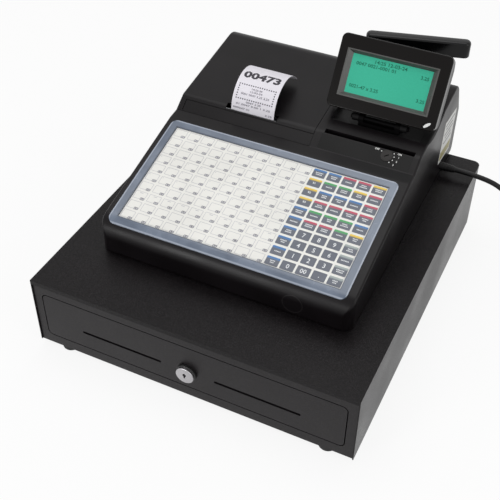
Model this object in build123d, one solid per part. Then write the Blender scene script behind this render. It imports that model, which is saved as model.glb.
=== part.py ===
from build123d import *
from math import asin, atan2, cos, hypot, pi, radians, sin, tan
import os

# Electronic cash register with a flat keyboard, standing on a steel cash drawer.
# Millimetres. X runs to the right and Y from the drawer's front face to the back.
# Heights count from the floor. save() moves every piece to the part's own origin,
# which is the middle of the object's footprint, on the floor.

# Driving dimensions: cash drawer
DRAWER_WIDTH = 400.0
DRAWER_DEPTH = 447.0
DRAWER_HEIGHT = 96.0
FOOT_HEIGHT = 8.0
FOOT_RADIUS = 11.0
FOOT_INSET_X = 34.0
FOOT_INSET_Y = 12.0
SHEET = 1.2
CABINET_CORNER = 9.0
LIP_HEIGHT = 6.0
LIP_PROUD = 1.5
FRAME_SIDE = 11.7
FRAME_TOP = 17.2
FRAME_BOTTOM = 13.2
FRAME_DEPTH = 16.0
PANEL_GAP = 1.2
PANEL_CORNER = 6.0
PANEL_DEPTH = 24.0
DRAWER_TRAVEL = 300.0
TRAY_LENGTH = 400.0
TRAY_HEIGHT = 56.0
SLOT_LENGTH = 103.5
SLOT_HEIGHT = 3.4
SLOT_CENTRE_X = 85.0
LOCK_HEIGHT = 39.0
LOCK_PROUD = 7.0
LOCK_RADIUS = 11.0
LOCK_BARREL_RADIUS = 8.0
LOCK_LENGTH = 20.0
LOCK_SLEEVE = 2.0
LOCK_FACE = 3.0
NUT_THICK = 4.0
CAM_WIDTH = 12.0
CAM_THICK = 2.0
KEY_SLOT_HEIGHT = 7.2
KEY_SLOT_WIDTH = 1.8
KEY_HOLE_RADIUS = 2.2
SLIDE_HEIGHT = 34.0
SLIDE_WIDTH = 13.0
SLIDE_SHEET = 1.5
SLIDE_LENGTH = 400.0
SPACER_LENGTH = 30.0
SPACER_HEIGHT = 20.0
BALL_RADIUS = 2.0
BALL_COUNT = 6
CAGE_LENGTH = 100.0
CAGE_SPARE = 1.0

# Driving dimensions: till insert
TILL_DEPTH = 290.0
TILL_HEIGHT = 50.0
TILL_WALL = 2.0
TILL_GAP = 0.4
COIN_DEPTH = 96.0
CUP_FLOOR = 8.0
EAR_THICK = 3.0
EAR_RADIUS = 4.0
BILL_COLUMNS = 5
CLIP_LENGTH = 120.0
CLIP_WIDTH = 16.0
CLIP_PIVOT_RADIUS = 1.5
CLIP_HUB_RADIUS = 3.5
CLIP_PIN_REACH = 13.0
CLIP_THICK = 2.4
CLIP_TOE = 16.0
CLIP_TOE_RISE = 4.6
CLIP_KNEE = 20.0
CLIP_KNEE_RISE = 11.0

# Driving dimensions: drawer release
RELEASE_LEFT = -30.0
RELEASE_RIGHT = 46.0
RELEASE_DEPTH = 34.0
RELEASE_SETBACK = 40.0
RELEASE_SHEET = 1.5
RELEASE_FLANGE = 7.0
SOLENOID_LEFT = -20.0
SOLENOID_RIGHT = 16.0
SOLENOID_DEPTH = 14.0
SOLENOID_HEIGHT = 9.6
SOLENOID_INSET = 10.0
PLUNGER_RADIUS = 3.0
PLUNGER_LEFT = -12.0
PLUNGER_RIGHT = 28.0
PLUNGER_HEAD_RADIUS = 4.6
PLUNGER_HEAD = 3.0
SPRING_X = 60.0
SPRING_RADIUS = 7.0
SPRING_WIRE = 1.2
SPRING_CUP_RADIUS = 9.0
SPRING_CUP = 6.0
SPRING_TURNS = 3

# Driving dimensions: register body
BODY_WIDTH = 313.0
BODY_FRONT = 79.0
BODY_REAR = 468.0
NOSE_HEIGHT = 40.5
NOSE_RADIUS = 25.0
DECK_SLOPE = 13.9
DECK_END = 252.0
CREASE = 268.0
CREASE_RISE = 1.7
PANEL_RISE = 12.6
PANEL_RUN = 19.0
HOOD_SLOPE = 8.36
HOOD_END = 432.0
REAR_LEAN = 6.0
REAR_BREAK = 60.0
REAR_HIGH = 33.0
REAR_LOW = 18.0
REAR_UNDERCUT = 12.0
DECK_END_RADIUS = 14.0
CREASE_RADIUS = 3.0
PANEL_TOP_RADIUS = 12.0
HOOD_RADIUS = 22.0
REAR_BREAK_RADIUS = 30.0
REAR_HIGH_RADIUS = 6.0
REAR_LOW_RADIUS = 8.0
WALL = 3.0
FLOOR_THICK = 2.0
EDGE_RADIUS = 2.5
BODY_CORNER = 14.0
PLAN_SPARE = 1.0
SEAM_HEIGHT = 2.0
LOWER_WALL_HEIGHT = 12.0
NOSE_PLUG_X = 88.5
NOSE_PLUG_RISE = 16.5
NOSE_PLUG_RADIUS = 12.0
NOSE_PLUG_RIM = 1.2
VENT_COUNT = 7
VENT_WIDTH = 4.0
PORT_HALF_WIDTH = 62.0
PORT_LOW = 19.0
PORT_HIGH = 33.0
BOARD_BASE = 8.0
BOARD_LEFT = 38.0
BOARD_FRONT = 294.0
BOARD_WIDTH = 104.0
BOARD_LENGTH = 100.0
BOARD_THICK = 1.6
BOARD_MARGIN = 6.0
PROCESSOR_SIDE = 24.0
PROCESSOR_THICK = 3.0
CONNECTOR_LENGTH = 50.0
CONNECTOR_DEPTH = 8.0
CONNECTOR_HEIGHT = 9.0
CAPACITOR_RADIUS = 7.0
CAPACITOR_HEIGHT = 12.0
TRANSFORMER_X = 100.0
TRANSFORMER_Y = 218.0
CORE_WIDTH = 60.0
CORE_DEPTH = 44.0
CORE_HEIGHT = 42.0
WINDING_WIDTH = 44.0
WINDING_DEPTH = 64.0
WINDING_HEIGHT = 26.0
WINDING_CORNER = 5.0
FOOT_PLATE = 2.0
PORT_RIM = 4.0
PORT_SINK = 2.5
SOCKET_WIDTH = 26.0
SOCKET_PITCH = 38.0
SOCKET_PROUD = 2.0
SOCKET_MARGIN = 3.0
VENT_LEFT = 70.0
VENT_LOW = 46.0
VENT_HIGH = 74.0

# Driving dimensions: keyboard
SHEET_WIDTH = 274.5
SHEET_LENGTH = 147.5
SHEET_START = 96.0
SHEET_OFFSET_X = -1.6
OVERLAY_BORDER = 10.0
OVERLAY_CORNER = 8.0
OVERLAY_PROUD = 0.9
OVERLAY_SINK = 0.9
SHEET_SINK = 0.8
LABEL_THICK = 0.4
KEY_BOARD_THICK = 3.2

# Driving dimensions: printer
COVER_EDGE_X = 24.2
COVER_WALL = 2.6
COVER_GAP = 0.6
COVER_REAR = 434.0
COVER_PIN_RADIUS = 1.2
COVER_KNUCKLE = 2.4
COVER_PIN_INSET = 4.0
COVER_PIN_SINK = 11.3
COVER_SWING = 6.1
PAPER_X = -58.4
PAPER_WIDTH = 57.5
PAPER_THICK = 0.3
PAPER_SLOT_FRONT = 283.4
PAPER_SLOT_GAP = 8.0
SLOT_LEFT = 7.5
SLOT_RIGHT = 4.2
PLATE_GAP = 6.0
BIN_GAP = 1.2
RECEIPT_RADIUS = 38.0
RECEIPT_TURN = 145.0
ROLL_RADIUS = 36.0
SPINDLE_RADIUS = 6.0
ROLL_Y = 372.0
ROLL_RISE = 53.0
PLATEN_RADIUS = 7.5
PLATEN_Y = 292.6
PLATEN_RISE = 66.0
SHAFT_RADIUS = 2.5
GEAR_MODULE = 0.8
PLATEN_TEETH = 30
PINION_TEETH = 12
GEAR_WIDTH = 4.0
GEAR_ROOT = 1.6
GEAR_TIP = 0.4
MOTOR_RADIUS = 11.0
MOTOR_LENGTH = 22.0
MOTOR_SHAFT_RADIUS = 1.5
GEAR_ANGLE = 330.0
GEAR_BACKLASH = 0.15
PRINTER_BASE = 30.0
PLATE_THICK = 1.5

# Driving dimensions: mode panel and the groove behind it
BAY_LEFT = 34.0
BAY_RIGHT = 148.0
GROOVE_WIDTH = 6.6
GROOVE_DEPTH = 5.0
GROOVE_WALL = 2.0
PANEL_MARGIN = 1.0
PANEL_THICK = 0.6
MODE_X = 117.2
MODE_RADIUS = 7.0
MODE_FACE_RADIUS = 5.6
MODE_BODY_RADIUS = 4.5
MODE_STEM_RADIUS = 3.2
MODE_LENGTH = 14.0
MODE_PROUD = 0.8

# Driving dimensions: operator display
DISPLAY_X = 92.8
DISPLAY_Y = 312.0
DISPLAY_RISE = 118.2
DISPLAY_TILT = 30.6
DISPLAY_WIDTH = 135.0
DISPLAY_HEIGHT = 87.6
DISPLAY_CORNER = 7.0
BEZEL_DEPTH = 9.0
SHELL_DEPTH = 15.0
SHELL_WALL = 2.0
SHELL_TOP_RUN = 9.0
SHELL_TOP_DROP = 14.0
SHELL_FOOT = 8.0
WINDOW_LEFT = 10.2
WINDOW_RIGHT = 12.3
WINDOW_BOTTOM = 15.1
WINDOW_TOP = 16.4
BEVEL_SIDE = 7.7
BEVEL_END = 5.3
BEVEL_DEPTH = 4.8
HINGE_PIN_RADIUS = 3.0
HINGE_DROP = 5.0
HINGE_BACK = 4.0
HINGE_SPREAD = 30.0
HINGE_KNUCKLE = 8.0
SCOOP_RADIUS = 60.0
SCOOP_DEPTH = 9.0

# Driving dimensions: customer display
POST_X = 101.5
POST_Y = 408.5
POST_RADIUS = 9.0
BAR_TOP = 180.0
BAR_LENGTH = 119.0
BAR_DEPTH = 15.0
BAR_HEIGHT = 20.0
BAR_YAW = 15.3
BAR_CORNER = 5.0
BAR_TOP_ROUND = 3.0
BAR_WALL = 2.0
BAR_MARGIN = 7.0
PANE_THICK = 1.5
TUBE_MARGIN = 12.0
TUBE_DROP = 5.0
COLLAR_HEIGHT = 7.0
NECK_LENGTH = 30.0
POST_WALL = 2.0
RING_WIDTH = 4.0

# Driving dimensions: power cord
CORD_RADIUS = 3.25
CORD_Y = 402.0
CORD_RISE = 10.5
RELIEF_REACH = 20.0
COIL_RADIUS = 37.2
COIL_WIDE = 3
COIL_HIGH = 2
COIL_LEAD = 38.0
PLUG_WIDTH = 27.0
PLUG_LENGTH = 26.0
PLUG_BOOT = 20.0
PIN_LENGTH = 20.0

# Clearances
FIT = 0.3
RUNNING = 0.06
SEAT = 0.3
FLOOR_GAP = 0.05

DRAWER_TOP = FOOT_HEIGHT + DRAWER_HEIGHT
DRAWER_BASE = FOOT_HEIGHT
DECK_RISE = tan(radians(DECK_SLOPE))
HOOD_RISE = tan(radians(HOOD_SLOPE))
ORIGIN_Y = (BODY_REAR - LOCK_PROUD) / 2


def save(shape, node):
    """Write one piece to its own STEP file, in the part's own frame."""
    export_step(Location((0, -ORIGIN_Y, 0)) * shape, f"parts/{node}.step")


def block(x, y, z):
    """Box between two limits along each axis."""
    centre = ((x[0] + x[1]) / 2, (y[0] + y[1]) / 2, (z[0] + z[1]) / 2)
    return Pos(*centre) * Box(x[1] - x[0], y[1] - y[0], z[1] - z[0])


def rod_x(radius, x, y, z):
    """Cylinder along X between two limits."""
    return Pos((x[0] + x[1]) / 2, y, z) * Rot(0, 90, 0) * Cylinder(radius, x[1] - x[0])


def rod_y(radius, x, y, z):
    """Cylinder along Y between two limits."""
    return Pos(x, (y[0] + y[1]) / 2, z) * Rot(90, 0, 0) * Cylinder(radius, y[1] - y[0])


def rod_z(radius, x, y, z):
    """Cylinder along Z between two limits."""
    return Pos(x, y, (z[0] + z[1]) / 2) * Cylinder(radius, z[1] - z[0])


def mirrored(shape):
    """The shape and its copy on the other side of the drawer's middle plane."""
    return [shape, mirror(shape, Plane.YZ)]


# ---------------------------------------------------------------- cash drawer cabinet

def cabinet_block(inset, front, height):
    """Cabinet's outline with rounded rear corners, shrunk on every side by inset."""
    x = DRAWER_WIDTH / 2 - inset
    shape = block((-x, x), (front, DRAWER_DEPTH - inset), (DRAWER_BASE, height))
    rear = shape.edges().filter_by(Axis.Z).group_by(Axis.Y)[-1]
    return fillet(rear, CABINET_CORNER - inset)


def make_cabinet():
    shell = cabinet_block(0, -LIP_PROUD, DRAWER_TOP) - cabinet_block(SHEET, -DRAWER_DEPTH, DRAWER_TOP - SHEET)
    x = DRAWER_WIDTH / 2 - SHEET
    lip = block((-x, x), (-LIP_PROUD, 0), (DRAWER_TOP - LIP_HEIGHT, DRAWER_TOP - SHEET))
    return shell + lip


def make_cabinet_base():
    """Steel floor that closes the cabinet from below."""
    x = DRAWER_WIDTH / 2 - SHEET
    y = (FRAME_DEPTH, DRAWER_DEPTH - CABINET_CORNER)
    plate = block((-x, x), y, (DRAWER_BASE, DRAWER_BASE + SHEET))
    for side in (-1, 1):
        flange = (side * (x - SHEET / 2) - SHEET / 2, side * (x - SHEET / 2) + SHEET / 2)
        plate += block(flange, y, (DRAWER_BASE, DRAWER_BASE + FRAME_BOTTOM))
    return plate


def frame_opening(gap):
    """Limits of the drawer's mouth, less a gap all round."""
    x = DRAWER_WIDTH / 2 - FRAME_SIDE - gap
    z = (DRAWER_BASE + FRAME_BOTTOM + gap, DRAWER_TOP - FRAME_TOP - gap)
    return (-x, x), z


def make_front_frame():
    """Front ring around the drawer's mouth, with returns that stiffen it."""
    x = DRAWER_WIDTH / 2 - SHEET
    z = (DRAWER_BASE, DRAWER_TOP - SHEET)
    mouth_x, mouth_z = frame_opening(0)
    mouth = block(mouth_x, (-1, FRAME_DEPTH + 1), mouth_z)
    mouth = fillet(mouth.edges().filter_by(Axis.Y), PANEL_CORNER + PANEL_GAP)
    ring = block((-x, x), (0, FRAME_DEPTH), z) - mouth
    behind = (FRAME_DEPTH / 4, FRAME_DEPTH + 1)
    for low, high in ((z[0] + 2 * SHEET, mouth_z[0] - SHEET), (mouth_z[1] + SHEET, z[1] - 2 * SHEET)):
        ring -= block((mouth_x[0], mouth_x[1]), behind, (low, high))
    return ring


def make_feet():
    x = DRAWER_WIDTH / 2 - FOOT_INSET_X
    pads = []
    for y in (FOOT_INSET_Y, DRAWER_DEPTH - FOOT_INSET_Y - FOOT_RADIUS):
        pad = rod_z(FOOT_RADIUS, x, y, (0, FOOT_HEIGHT))
        pad = fillet(pad.edges().group_by(Axis.Z)[0], FOOT_RADIUS / 5)
        pads += mirrored(pad)
    return Compound(pads)


def slide_limits():
    """Middle height of the slides and the outer face of the right-hand one, set by the mouth."""
    middle = DRAWER_BASE + FRAME_BOTTOM + PANEL_GAP + TRAY_HEIGHT / 2
    return middle, DRAWER_WIDTH / 2 - FRAME_SIDE - FIT + 2 * SLIDE_SHEET


def channel(outer_x, depth, half_height, y, middle):
    """Right-hand C section: a web at the outer side and two flanges towards the middle."""
    section = block((outer_x - depth, outer_x), y, (middle - half_height, middle + half_height))
    inside = half_height - SLIDE_SHEET
    hollow_x = (outer_x - depth - 1, outer_x - SLIDE_SHEET)
    return section - block(hollow_x, y, (middle - inside, middle + inside))


def ball_gap():
    """Height of the ball race between the two members of a slide."""
    return 2 * BALL_RADIUS + 2 * RUNNING


def make_cabinet_slides():
    middle, outer = slide_limits()
    y = (PANEL_DEPTH + SHEET, PANEL_DEPTH + SHEET + SLIDE_LENGTH)
    member = channel(outer, SLIDE_WIDTH - SLIDE_SHEET - FIT, SLIDE_HEIGHT / 2, y, middle)
    wall = DRAWER_WIDTH / 2 - SHEET
    height = (middle - SPACER_HEIGHT / 2, middle + SPACER_HEIGHT / 2)
    for end in (y[0] + SPACER_LENGTH, y[1] - 2 * SPACER_LENGTH):
        member += block((outer, wall), (end, end + SPACER_LENGTH), height)
    return Compound(mirrored(member))


def make_drawer_slides():
    """Inner members: C sections that open outwards, carried by the balls."""
    middle, outer = slide_limits()
    half = SLIDE_HEIGHT / 2 - SLIDE_SHEET - ball_gap()
    y = (PANEL_DEPTH + SHEET, PANEL_DEPTH + SHEET + TRAY_LENGTH - 2 * SHEET)
    web = outer - SLIDE_WIDTH
    member = block((web, outer - 2 * SLIDE_SHEET), y, (middle - half, middle + half))
    inside = half - SLIDE_SHEET
    member -= block((web + SLIDE_SHEET, outer), y, (middle - inside, middle + inside))
    return Compound(mirrored(member))


def make_slide_cages():
    """Ball cages: a strip between the two members with balls above and below."""
    middle, outer = slide_limits()
    start = PANEL_DEPTH + SHEET + DRAWER_TRAVEL / 2 + CAGE_SPARE
    y = (start, start + CAGE_LENGTH)
    race = SLIDE_HEIGHT / 2 - SLIDE_SHEET - ball_gap() / 2
    ball_x = outer - SLIDE_WIDTH / 2
    strip_x = (outer - 2 * SLIDE_SHEET + FIT, outer - SLIDE_SHEET - FIT)
    cage = block(strip_x, y, (middle - race, middle + race))
    step = CAGE_LENGTH / BALL_COUNT
    for side in (-1, 1):
        z = middle + side * race
        shelf_x = (ball_x - BALL_RADIUS / 2, strip_x[1])
        cage += block(shelf_x, y, (z - SLIDE_SHEET / 2, z + SLIDE_SHEET / 2))
        for n in range(BALL_COUNT):
            cage += Pos(ball_x, y[0] + (n + 0.5) * step, z) * Rot(0, 0, 180) * Sphere(BALL_RADIUS)
    return Compound(mirrored(cage))


# ---------------------------------------------------------------- drawer

def make_drawer_front():
    """Folded steel front: a face with returns, two document slots and the lock's hole."""
    x, z = frame_opening(PANEL_GAP)
    shape = block(x, (0, PANEL_DEPTH), z)
    shape = fillet(shape.edges().filter_by(Axis.Y), PANEL_CORNER)
    inside = block((x[0] + SHEET, x[1] - SHEET), (2 * SHEET, PANEL_DEPTH + 1), (z[0] + SHEET, z[1] - SHEET))
    shape -= fillet(inside.edges().filter_by(Axis.Y), max(PANEL_CORNER - SHEET, SHEET))
    for side in (-1, 1):
        shape -= document_slot(side, (-1, 3 * SHEET))
    notch_y = (LOCK_LENGTH - 2, PANEL_DEPTH + 1)
    shape -= block((-LOCK_BARREL_RADIUS, cam_reach()), notch_y, (z[0] - 1, z[0] + 2 * SHEET))
    return shape - rod_y(LOCK_BARREL_RADIUS + LOCK_SLEEVE + FIT, 0, (-1, 3 * SHEET), lock_height())


def document_slot(side, y):
    """Prism of one round-ended slot on the left (-1) or right (1)."""
    outline = Plane.XZ * SlotOverall(SLOT_LENGTH, SLOT_HEIGHT)
    prism = extrude(outline, amount=y[1] - y[0], dir=(0, 1, 0))
    return Pos(side * SLOT_CENTRE_X, y[0], lock_height()) * prism


def tray_limits():
    """Outer limits of the tray between the slides' inner webs."""
    middle, outer = slide_limits()
    x = outer - SLIDE_WIDTH
    y = (PANEL_DEPTH, PANEL_DEPTH + TRAY_LENGTH)
    return (-x, x), y, (middle - TRAY_HEIGHT / 2, middle + TRAY_HEIGHT / 2)


def make_drawer_tray():
    x, y, z = tray_limits()
    tray = block(x, y, z)
    tray -= block((x[0] + SHEET, x[1] - SHEET), (y[0] + SHEET, y[1] - SHEET), (z[0] + SHEET, z[1] + 1))
    for side in (-1, 1):
        tray -= document_slot(side, (y[0] - 1, y[0] + 2 * SHEET))
    return tray


def lock_height():
    return DRAWER_BASE + LOCK_HEIGHT


def make_lock_collar():
    """Fixed lock housing: a collar on the drawer's face and a threaded sleeve behind it."""
    collar_depth = LOCK_PROUD - LOCK_FACE
    shape = rod_y(LOCK_RADIUS + 1, 0, (-collar_depth, 0), lock_height())
    shape = chamfer(shape.edges().group_by(Axis.Y)[0], 1)
    shape += rod_y(LOCK_BARREL_RADIUS + LOCK_SLEEVE, 0, (-1, LOCK_LENGTH - LOCK_FACE), lock_height())
    return shape - rod_y(LOCK_BARREL_RADIUS + RUNNING, 0, (-LOCK_PROUD, PANEL_DEPTH), lock_height())


def make_lock_nut():
    """Hexagon nut that clamps the lock against the inside of the front."""
    outline = Plane.XZ * RegularPolygon(LOCK_RADIUS + LOCK_FACE, 6)
    nut = extrude(outline, amount=NUT_THICK, dir=(0, 1, 0))
    nut = Pos(0, 2 * SHEET, lock_height()) * nut
    return nut - rod_y(LOCK_BARREL_RADIUS + LOCK_SLEEVE, 0, (-1, PANEL_DEPTH), lock_height())


def make_lock_barrel():
    """Turning plug: a round face with a keyhole and the barrel behind it."""
    collar_depth = LOCK_PROUD - LOCK_FACE
    face = rod_y(LOCK_RADIUS, 0, (-LOCK_PROUD, -collar_depth - RUNNING), lock_height())
    face = fillet(face.edges().group_by(Axis.Y)[0], 1)
    shape = face + rod_y(LOCK_BARREL_RADIUS, 0, (-collar_depth - 1, LOCK_LENGTH), lock_height())
    depth = (-LOCK_PROUD - 1, 0)
    slot_x = (-KEY_SLOT_WIDTH / 2, KEY_SLOT_WIDTH / 2)
    slot_z = (lock_height() - KEY_SLOT_HEIGHT / 2, lock_height() + KEY_SLOT_HEIGHT / 2)
    keyhole = block(slot_x, depth, slot_z)
    keyhole += rod_y(KEY_HOLE_RADIUS, 0, depth, lock_height() + KEY_HOLE_RADIUS / 2)
    return shape - keyhole


def cam_reach():
    """Length of the cam, enough to pass behind the frame below the drawer's front."""
    return LOCK_HEIGHT - FRAME_BOTTOM + 4


def make_lock_cam():
    """Flat tongue on the barrel's end that turns behind the cabinet's frame."""
    y = (LOCK_LENGTH, LOCK_LENGTH + CAM_THICK)
    tongue = block((0, cam_reach()), y, (lock_height() - CAM_WIDTH / 2, lock_height() + CAM_WIDTH / 2))
    return tongue + rod_y(LOCK_BARREL_RADIUS, 0, y, lock_height())


# ---------------------------------------------------------------- till insert

def till_limits():
    x, y, z = tray_limits()
    width = (x[0] + SHEET + 1, x[1] - SHEET - 1)
    front = y[0] + SHEET + 1
    return width, (front, front + TILL_DEPTH), (z[0] + SHEET, z[0] + SHEET + TILL_HEIGHT)


def till_columns():
    """Left and right limits of each column of the till."""
    x, _, _ = till_limits()
    pitch = (x[1] - x[0] - TILL_WALL) / BILL_COLUMNS
    edges = [x[0] + TILL_WALL + n * pitch for n in range(BILL_COLUMNS)]
    return [(edge, edge + pitch - TILL_WALL) for edge in edges]


def make_coin_tray():
    """Removable moulding with a row of coin cups."""
    x, y, z = till_limits()
    tray_y = (y[0], cup_limits()[1] + TILL_WALL)
    tray = block(x, tray_y, z)
    for column in till_columns():
        cup = block(column, cup_limits(), (z[0] + CUP_FLOOR, z[1] + CUP_FLOOR))
        tray -= fillet(cup.edges().filter_by(Axis.X).group_by(Axis.Z)[0], CUP_FLOOR)
    return tray


def cup_limits():
    """Front and rear of the coin cups."""
    front = till_limits()[1][0] + TILL_WALL
    return front, front + COIN_DEPTH


def well_limits():
    """Front and rear of the note wells."""
    return cup_limits()[1] + 2 * TILL_WALL + TILL_GAP, till_limits()[1][1] - TILL_WALL


def make_note_tray():
    """Moulding with a row of note wells and the ears of the note clips."""
    x, y, z = till_limits()
    tray = block(x, (well_limits()[0] - TILL_WALL, y[1]), z)
    for column in till_columns():
        tray -= block(column, well_limits(), (z[0] + TILL_WALL, z[1] + 1))
    pivot_y, pivot_z = till_clip_pivot()
    for column in till_columns():
        middle = (column[0] + column[1]) / 2
        for side in (-1, 1):
            ear = middle + side * (CLIP_WIDTH / 2 + EAR_THICK)
            ear_x = (ear - EAR_THICK / 2, ear + EAR_THICK / 2)
            ear_z = (pivot_z - EAR_RADIUS, pivot_z + EAR_RADIUS)
            tray += block(ear_x, (pivot_y - EAR_RADIUS, y[1] - TILL_WALL / 2), ear_z)
        bore_x = (middle - CLIP_WIDTH, middle + CLIP_WIDTH)
        tray -= rod_x(CLIP_PIVOT_RADIUS + RUNNING, bore_x, pivot_y, pivot_z)
    return tray


def till_clip_pivot():
    """Depth and height of the note clips' axis."""
    _, y, z = till_limits()
    return y[1] - TILL_WALL - 7, z[1] - 6


def make_clip(column):
    """Sprung note clip: two bent arms and a roller end, turning on its own pin."""
    middle = (column[0] + column[1]) / 2
    pivot_y, pivot_z = till_clip_pivot()
    _, _, z = till_limits()
    half = CLIP_WIDTH / 2
    pin = rod_x(CLIP_PIVOT_RADIUS, (middle - CLIP_PIN_REACH, middle + CLIP_PIN_REACH), pivot_y, pivot_z)
    hub = rod_x(CLIP_HUB_RADIUS, (middle - half, middle + half), pivot_y, pivot_z)
    floor = z[0] + TILL_WALL + SEAT
    tip = pivot_y - CLIP_LENGTH
    outline = Polyline(
        (pivot_y - 1, pivot_z + CLIP_HUB_RADIUS - 1),
        (pivot_y - CLIP_KNEE - CLIP_THICK, floor + CLIP_KNEE_RISE + CLIP_THICK),
        (tip + CLIP_TOE, floor + CLIP_THICK),
        (tip, floor + CLIP_TOE_RISE + CLIP_THICK),
        (tip, floor + CLIP_TOE_RISE),
        (tip + CLIP_TOE, floor),
        (pivot_y - CLIP_KNEE, floor + CLIP_KNEE_RISE),
        (pivot_y - 2, pivot_z - CLIP_HUB_RADIUS + 1),
        close=True,
    )
    arm = extrude(make_face(Plane.YZ * outline), amount=half, both=True)
    return Pos(middle, 0, 0) * arm + hub + pin


# ---------------------------------------------------------------- drawer release

def release_place():
    """Front face of the release unit, behind the tray."""
    return PANEL_DEPTH + TRAY_LENGTH + 2 * SHEET


def make_release_bracket():
    """Angle on the cabinet's floor at the back that carries the solenoid."""
    floor = DRAWER_BASE + SHEET
    front = release_place() - RELEASE_SETBACK
    y = (front, front + RELEASE_DEPTH)
    plate = block((RELEASE_LEFT, RELEASE_RIGHT), y, (floor, floor + RELEASE_SHEET))
    flange_x = (RELEASE_LEFT, RELEASE_LEFT + RELEASE_SHEET)
    return plate + block(flange_x, y, (floor, floor + RELEASE_FLANGE))


def solenoid_place():
    """Front face and lower face of the solenoid's frame."""
    front = release_place() - RELEASE_SETBACK + SOLENOID_INSET
    return front, DRAWER_BASE + SHEET + RELEASE_SHEET


def plunger_rod(radius, x):
    """Cylinder on the plunger's axis between two limits."""
    front, floor = solenoid_place()
    return rod_x(radius, x, front + SOLENOID_DEPTH / 2, floor + SOLENOID_HEIGHT / 2)


def make_release_solenoid():
    """Low solenoid below the tray with a square frame and a bore for its plunger."""
    front, floor = solenoid_place()
    y = (front, front + SOLENOID_DEPTH)
    frame = block((SOLENOID_LEFT, SOLENOID_RIGHT), y, (floor, floor + SOLENOID_HEIGHT))
    return frame - plunger_rod(PLUNGER_RADIUS + RUNNING, (SOLENOID_LEFT - 1, SOLENOID_RIGHT + 1))


def make_release_plunger():
    """Plunger that the solenoid pulls in to let the drawer go."""
    pin = plunger_rod(PLUNGER_RADIUS, (PLUNGER_LEFT, PLUNGER_RIGHT))
    return pin + plunger_rod(PLUNGER_HEAD_RADIUS, (PLUNGER_RIGHT, PLUNGER_RIGHT + PLUNGER_HEAD))


def make_ejector_spring():
    """Coil spring behind the tray that pushes the drawer open, with its cup and end plate."""
    _, y, z = tray_limits()
    back = DRAWER_DEPTH - SHEET
    height = z[0] + TRAY_HEIGHT / 2
    cup = rod_y(SPRING_CUP_RADIUS, SPRING_X, (back - SPRING_CUP, back), height)
    wire = SPRING_WIRE
    length = back - SPRING_CUP - (y[1] + SEAT) - 2 * wire
    path = Helix(pitch=length / SPRING_TURNS, height=length, radius=SPRING_RADIUS)
    start = Plane(path @ 0, z_dir=path % 0)
    coil = sweep(start * Circle(wire), path=path)
    coil = Pos(SPRING_X, back - SPRING_CUP - wire / 2, height) * Rot(90, 0, 0) * coil
    plate_y = (y[1] + SEAT, y[1] + SEAT + wire)
    return cup + coil + rod_y(SPRING_CUP_RADIUS - FIT, SPRING_X, plate_y, height)


# ---------------------------------------------------------------- register body

def rise(y):
    """Height of the keyboard deck's plane above the drawer's top at one depth."""
    return NOSE_HEIGHT + (y - BODY_FRONT) * DECK_RISE


def crease_rise():
    return rise(DECK_END) + CREASE_RISE


def hood_rise(y):
    """Height of the hood's plane above the drawer's top at one depth."""
    return crease_rise() + PANEL_RISE + (y - CREASE - PANEL_RUN) * HOOD_RISE


def body_outline(inset):
    """Side view of the register body, shrunk by inset on every side."""
    bottom = SEAM_HEIGHT
    points = [
        (BODY_FRONT + 1, bottom),
        (BODY_FRONT, rise(BODY_FRONT)),
        (DECK_END, rise(DECK_END)),
        (CREASE, crease_rise()),
        (CREASE + PANEL_RUN, crease_rise() + PANEL_RISE),
        (HOOD_END, hood_rise(HOOD_END)),
        (BODY_REAR - REAR_LEAN, REAR_BREAK),
        (BODY_REAR, REAR_HIGH),
        (BODY_REAR, REAR_LOW),
        (BODY_REAR - REAR_UNDERCUT, bottom),
    ]
    upper = [0, NOSE_RADIUS, DECK_END_RADIUS, CREASE_RADIUS, PANEL_TOP_RADIUS, HOOD_RADIUS]
    radii = upper + [REAR_BREAK_RADIUS, REAR_HIGH_RADIUS, REAR_LOW_RADIUS, 0]
    outline = FilletPolyline(*[(y, DRAWER_TOP + z) for y, z in points], radius=radii, close=True)
    face = make_face(Plane.YZ * outline)
    return offset(face, -inset) if inset else face


def body_plan(inset):
    """Top view of the register body, whose rear edge lies a little outside the side view's."""
    rear = BODY_REAR + PLAN_SPARE
    corner = max(BODY_CORNER - inset, 1)
    outline = RectangleRounded(BODY_WIDTH - 2 * inset, rear - BODY_FRONT - 2 * inset, corner)
    return Pos(0, (BODY_FRONT + rear) / 2, DRAWER_TOP) * extrude(outline, amount=200)


def body_block(inset):
    """Register body as one full solid."""
    prism = extrude(body_outline(inset), amount=BODY_WIDTH / 2 - inset, both=True)
    return prism & body_plan(inset)


def deck_plane(y, below=0):
    """Plane on the keyboard deck, X to the right and Y up the slope, sunk by below."""
    slope = radians(DECK_SLOPE)
    normal = (0, -sin(slope), cos(slope))
    at = Plane(origin=(0, y, DRAWER_TOP + rise(y)), x_dir=(1, 0, 0), z_dir=normal)
    return at.offset(-below)


def deck_plate(width, length, corner, top, thick):
    """Plate on the deck, centred on the key sheet, its top sunk by top below the deck."""
    plane = deck_plane(SHEET_START, top + thick)
    outline = RectangleRounded(width, length, corner) if corner else Rectangle(width, length)
    return plane * Pos(SHEET_OFFSET_X, SHEET_LENGTH / 2) * extrude(outline, amount=thick)


def overlay_size(gap=0.0):
    return SHEET_WIDTH + 2 * (OVERLAY_BORDER + gap), SHEET_LENGTH + 2 * (OVERLAY_BORDER + gap)


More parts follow.
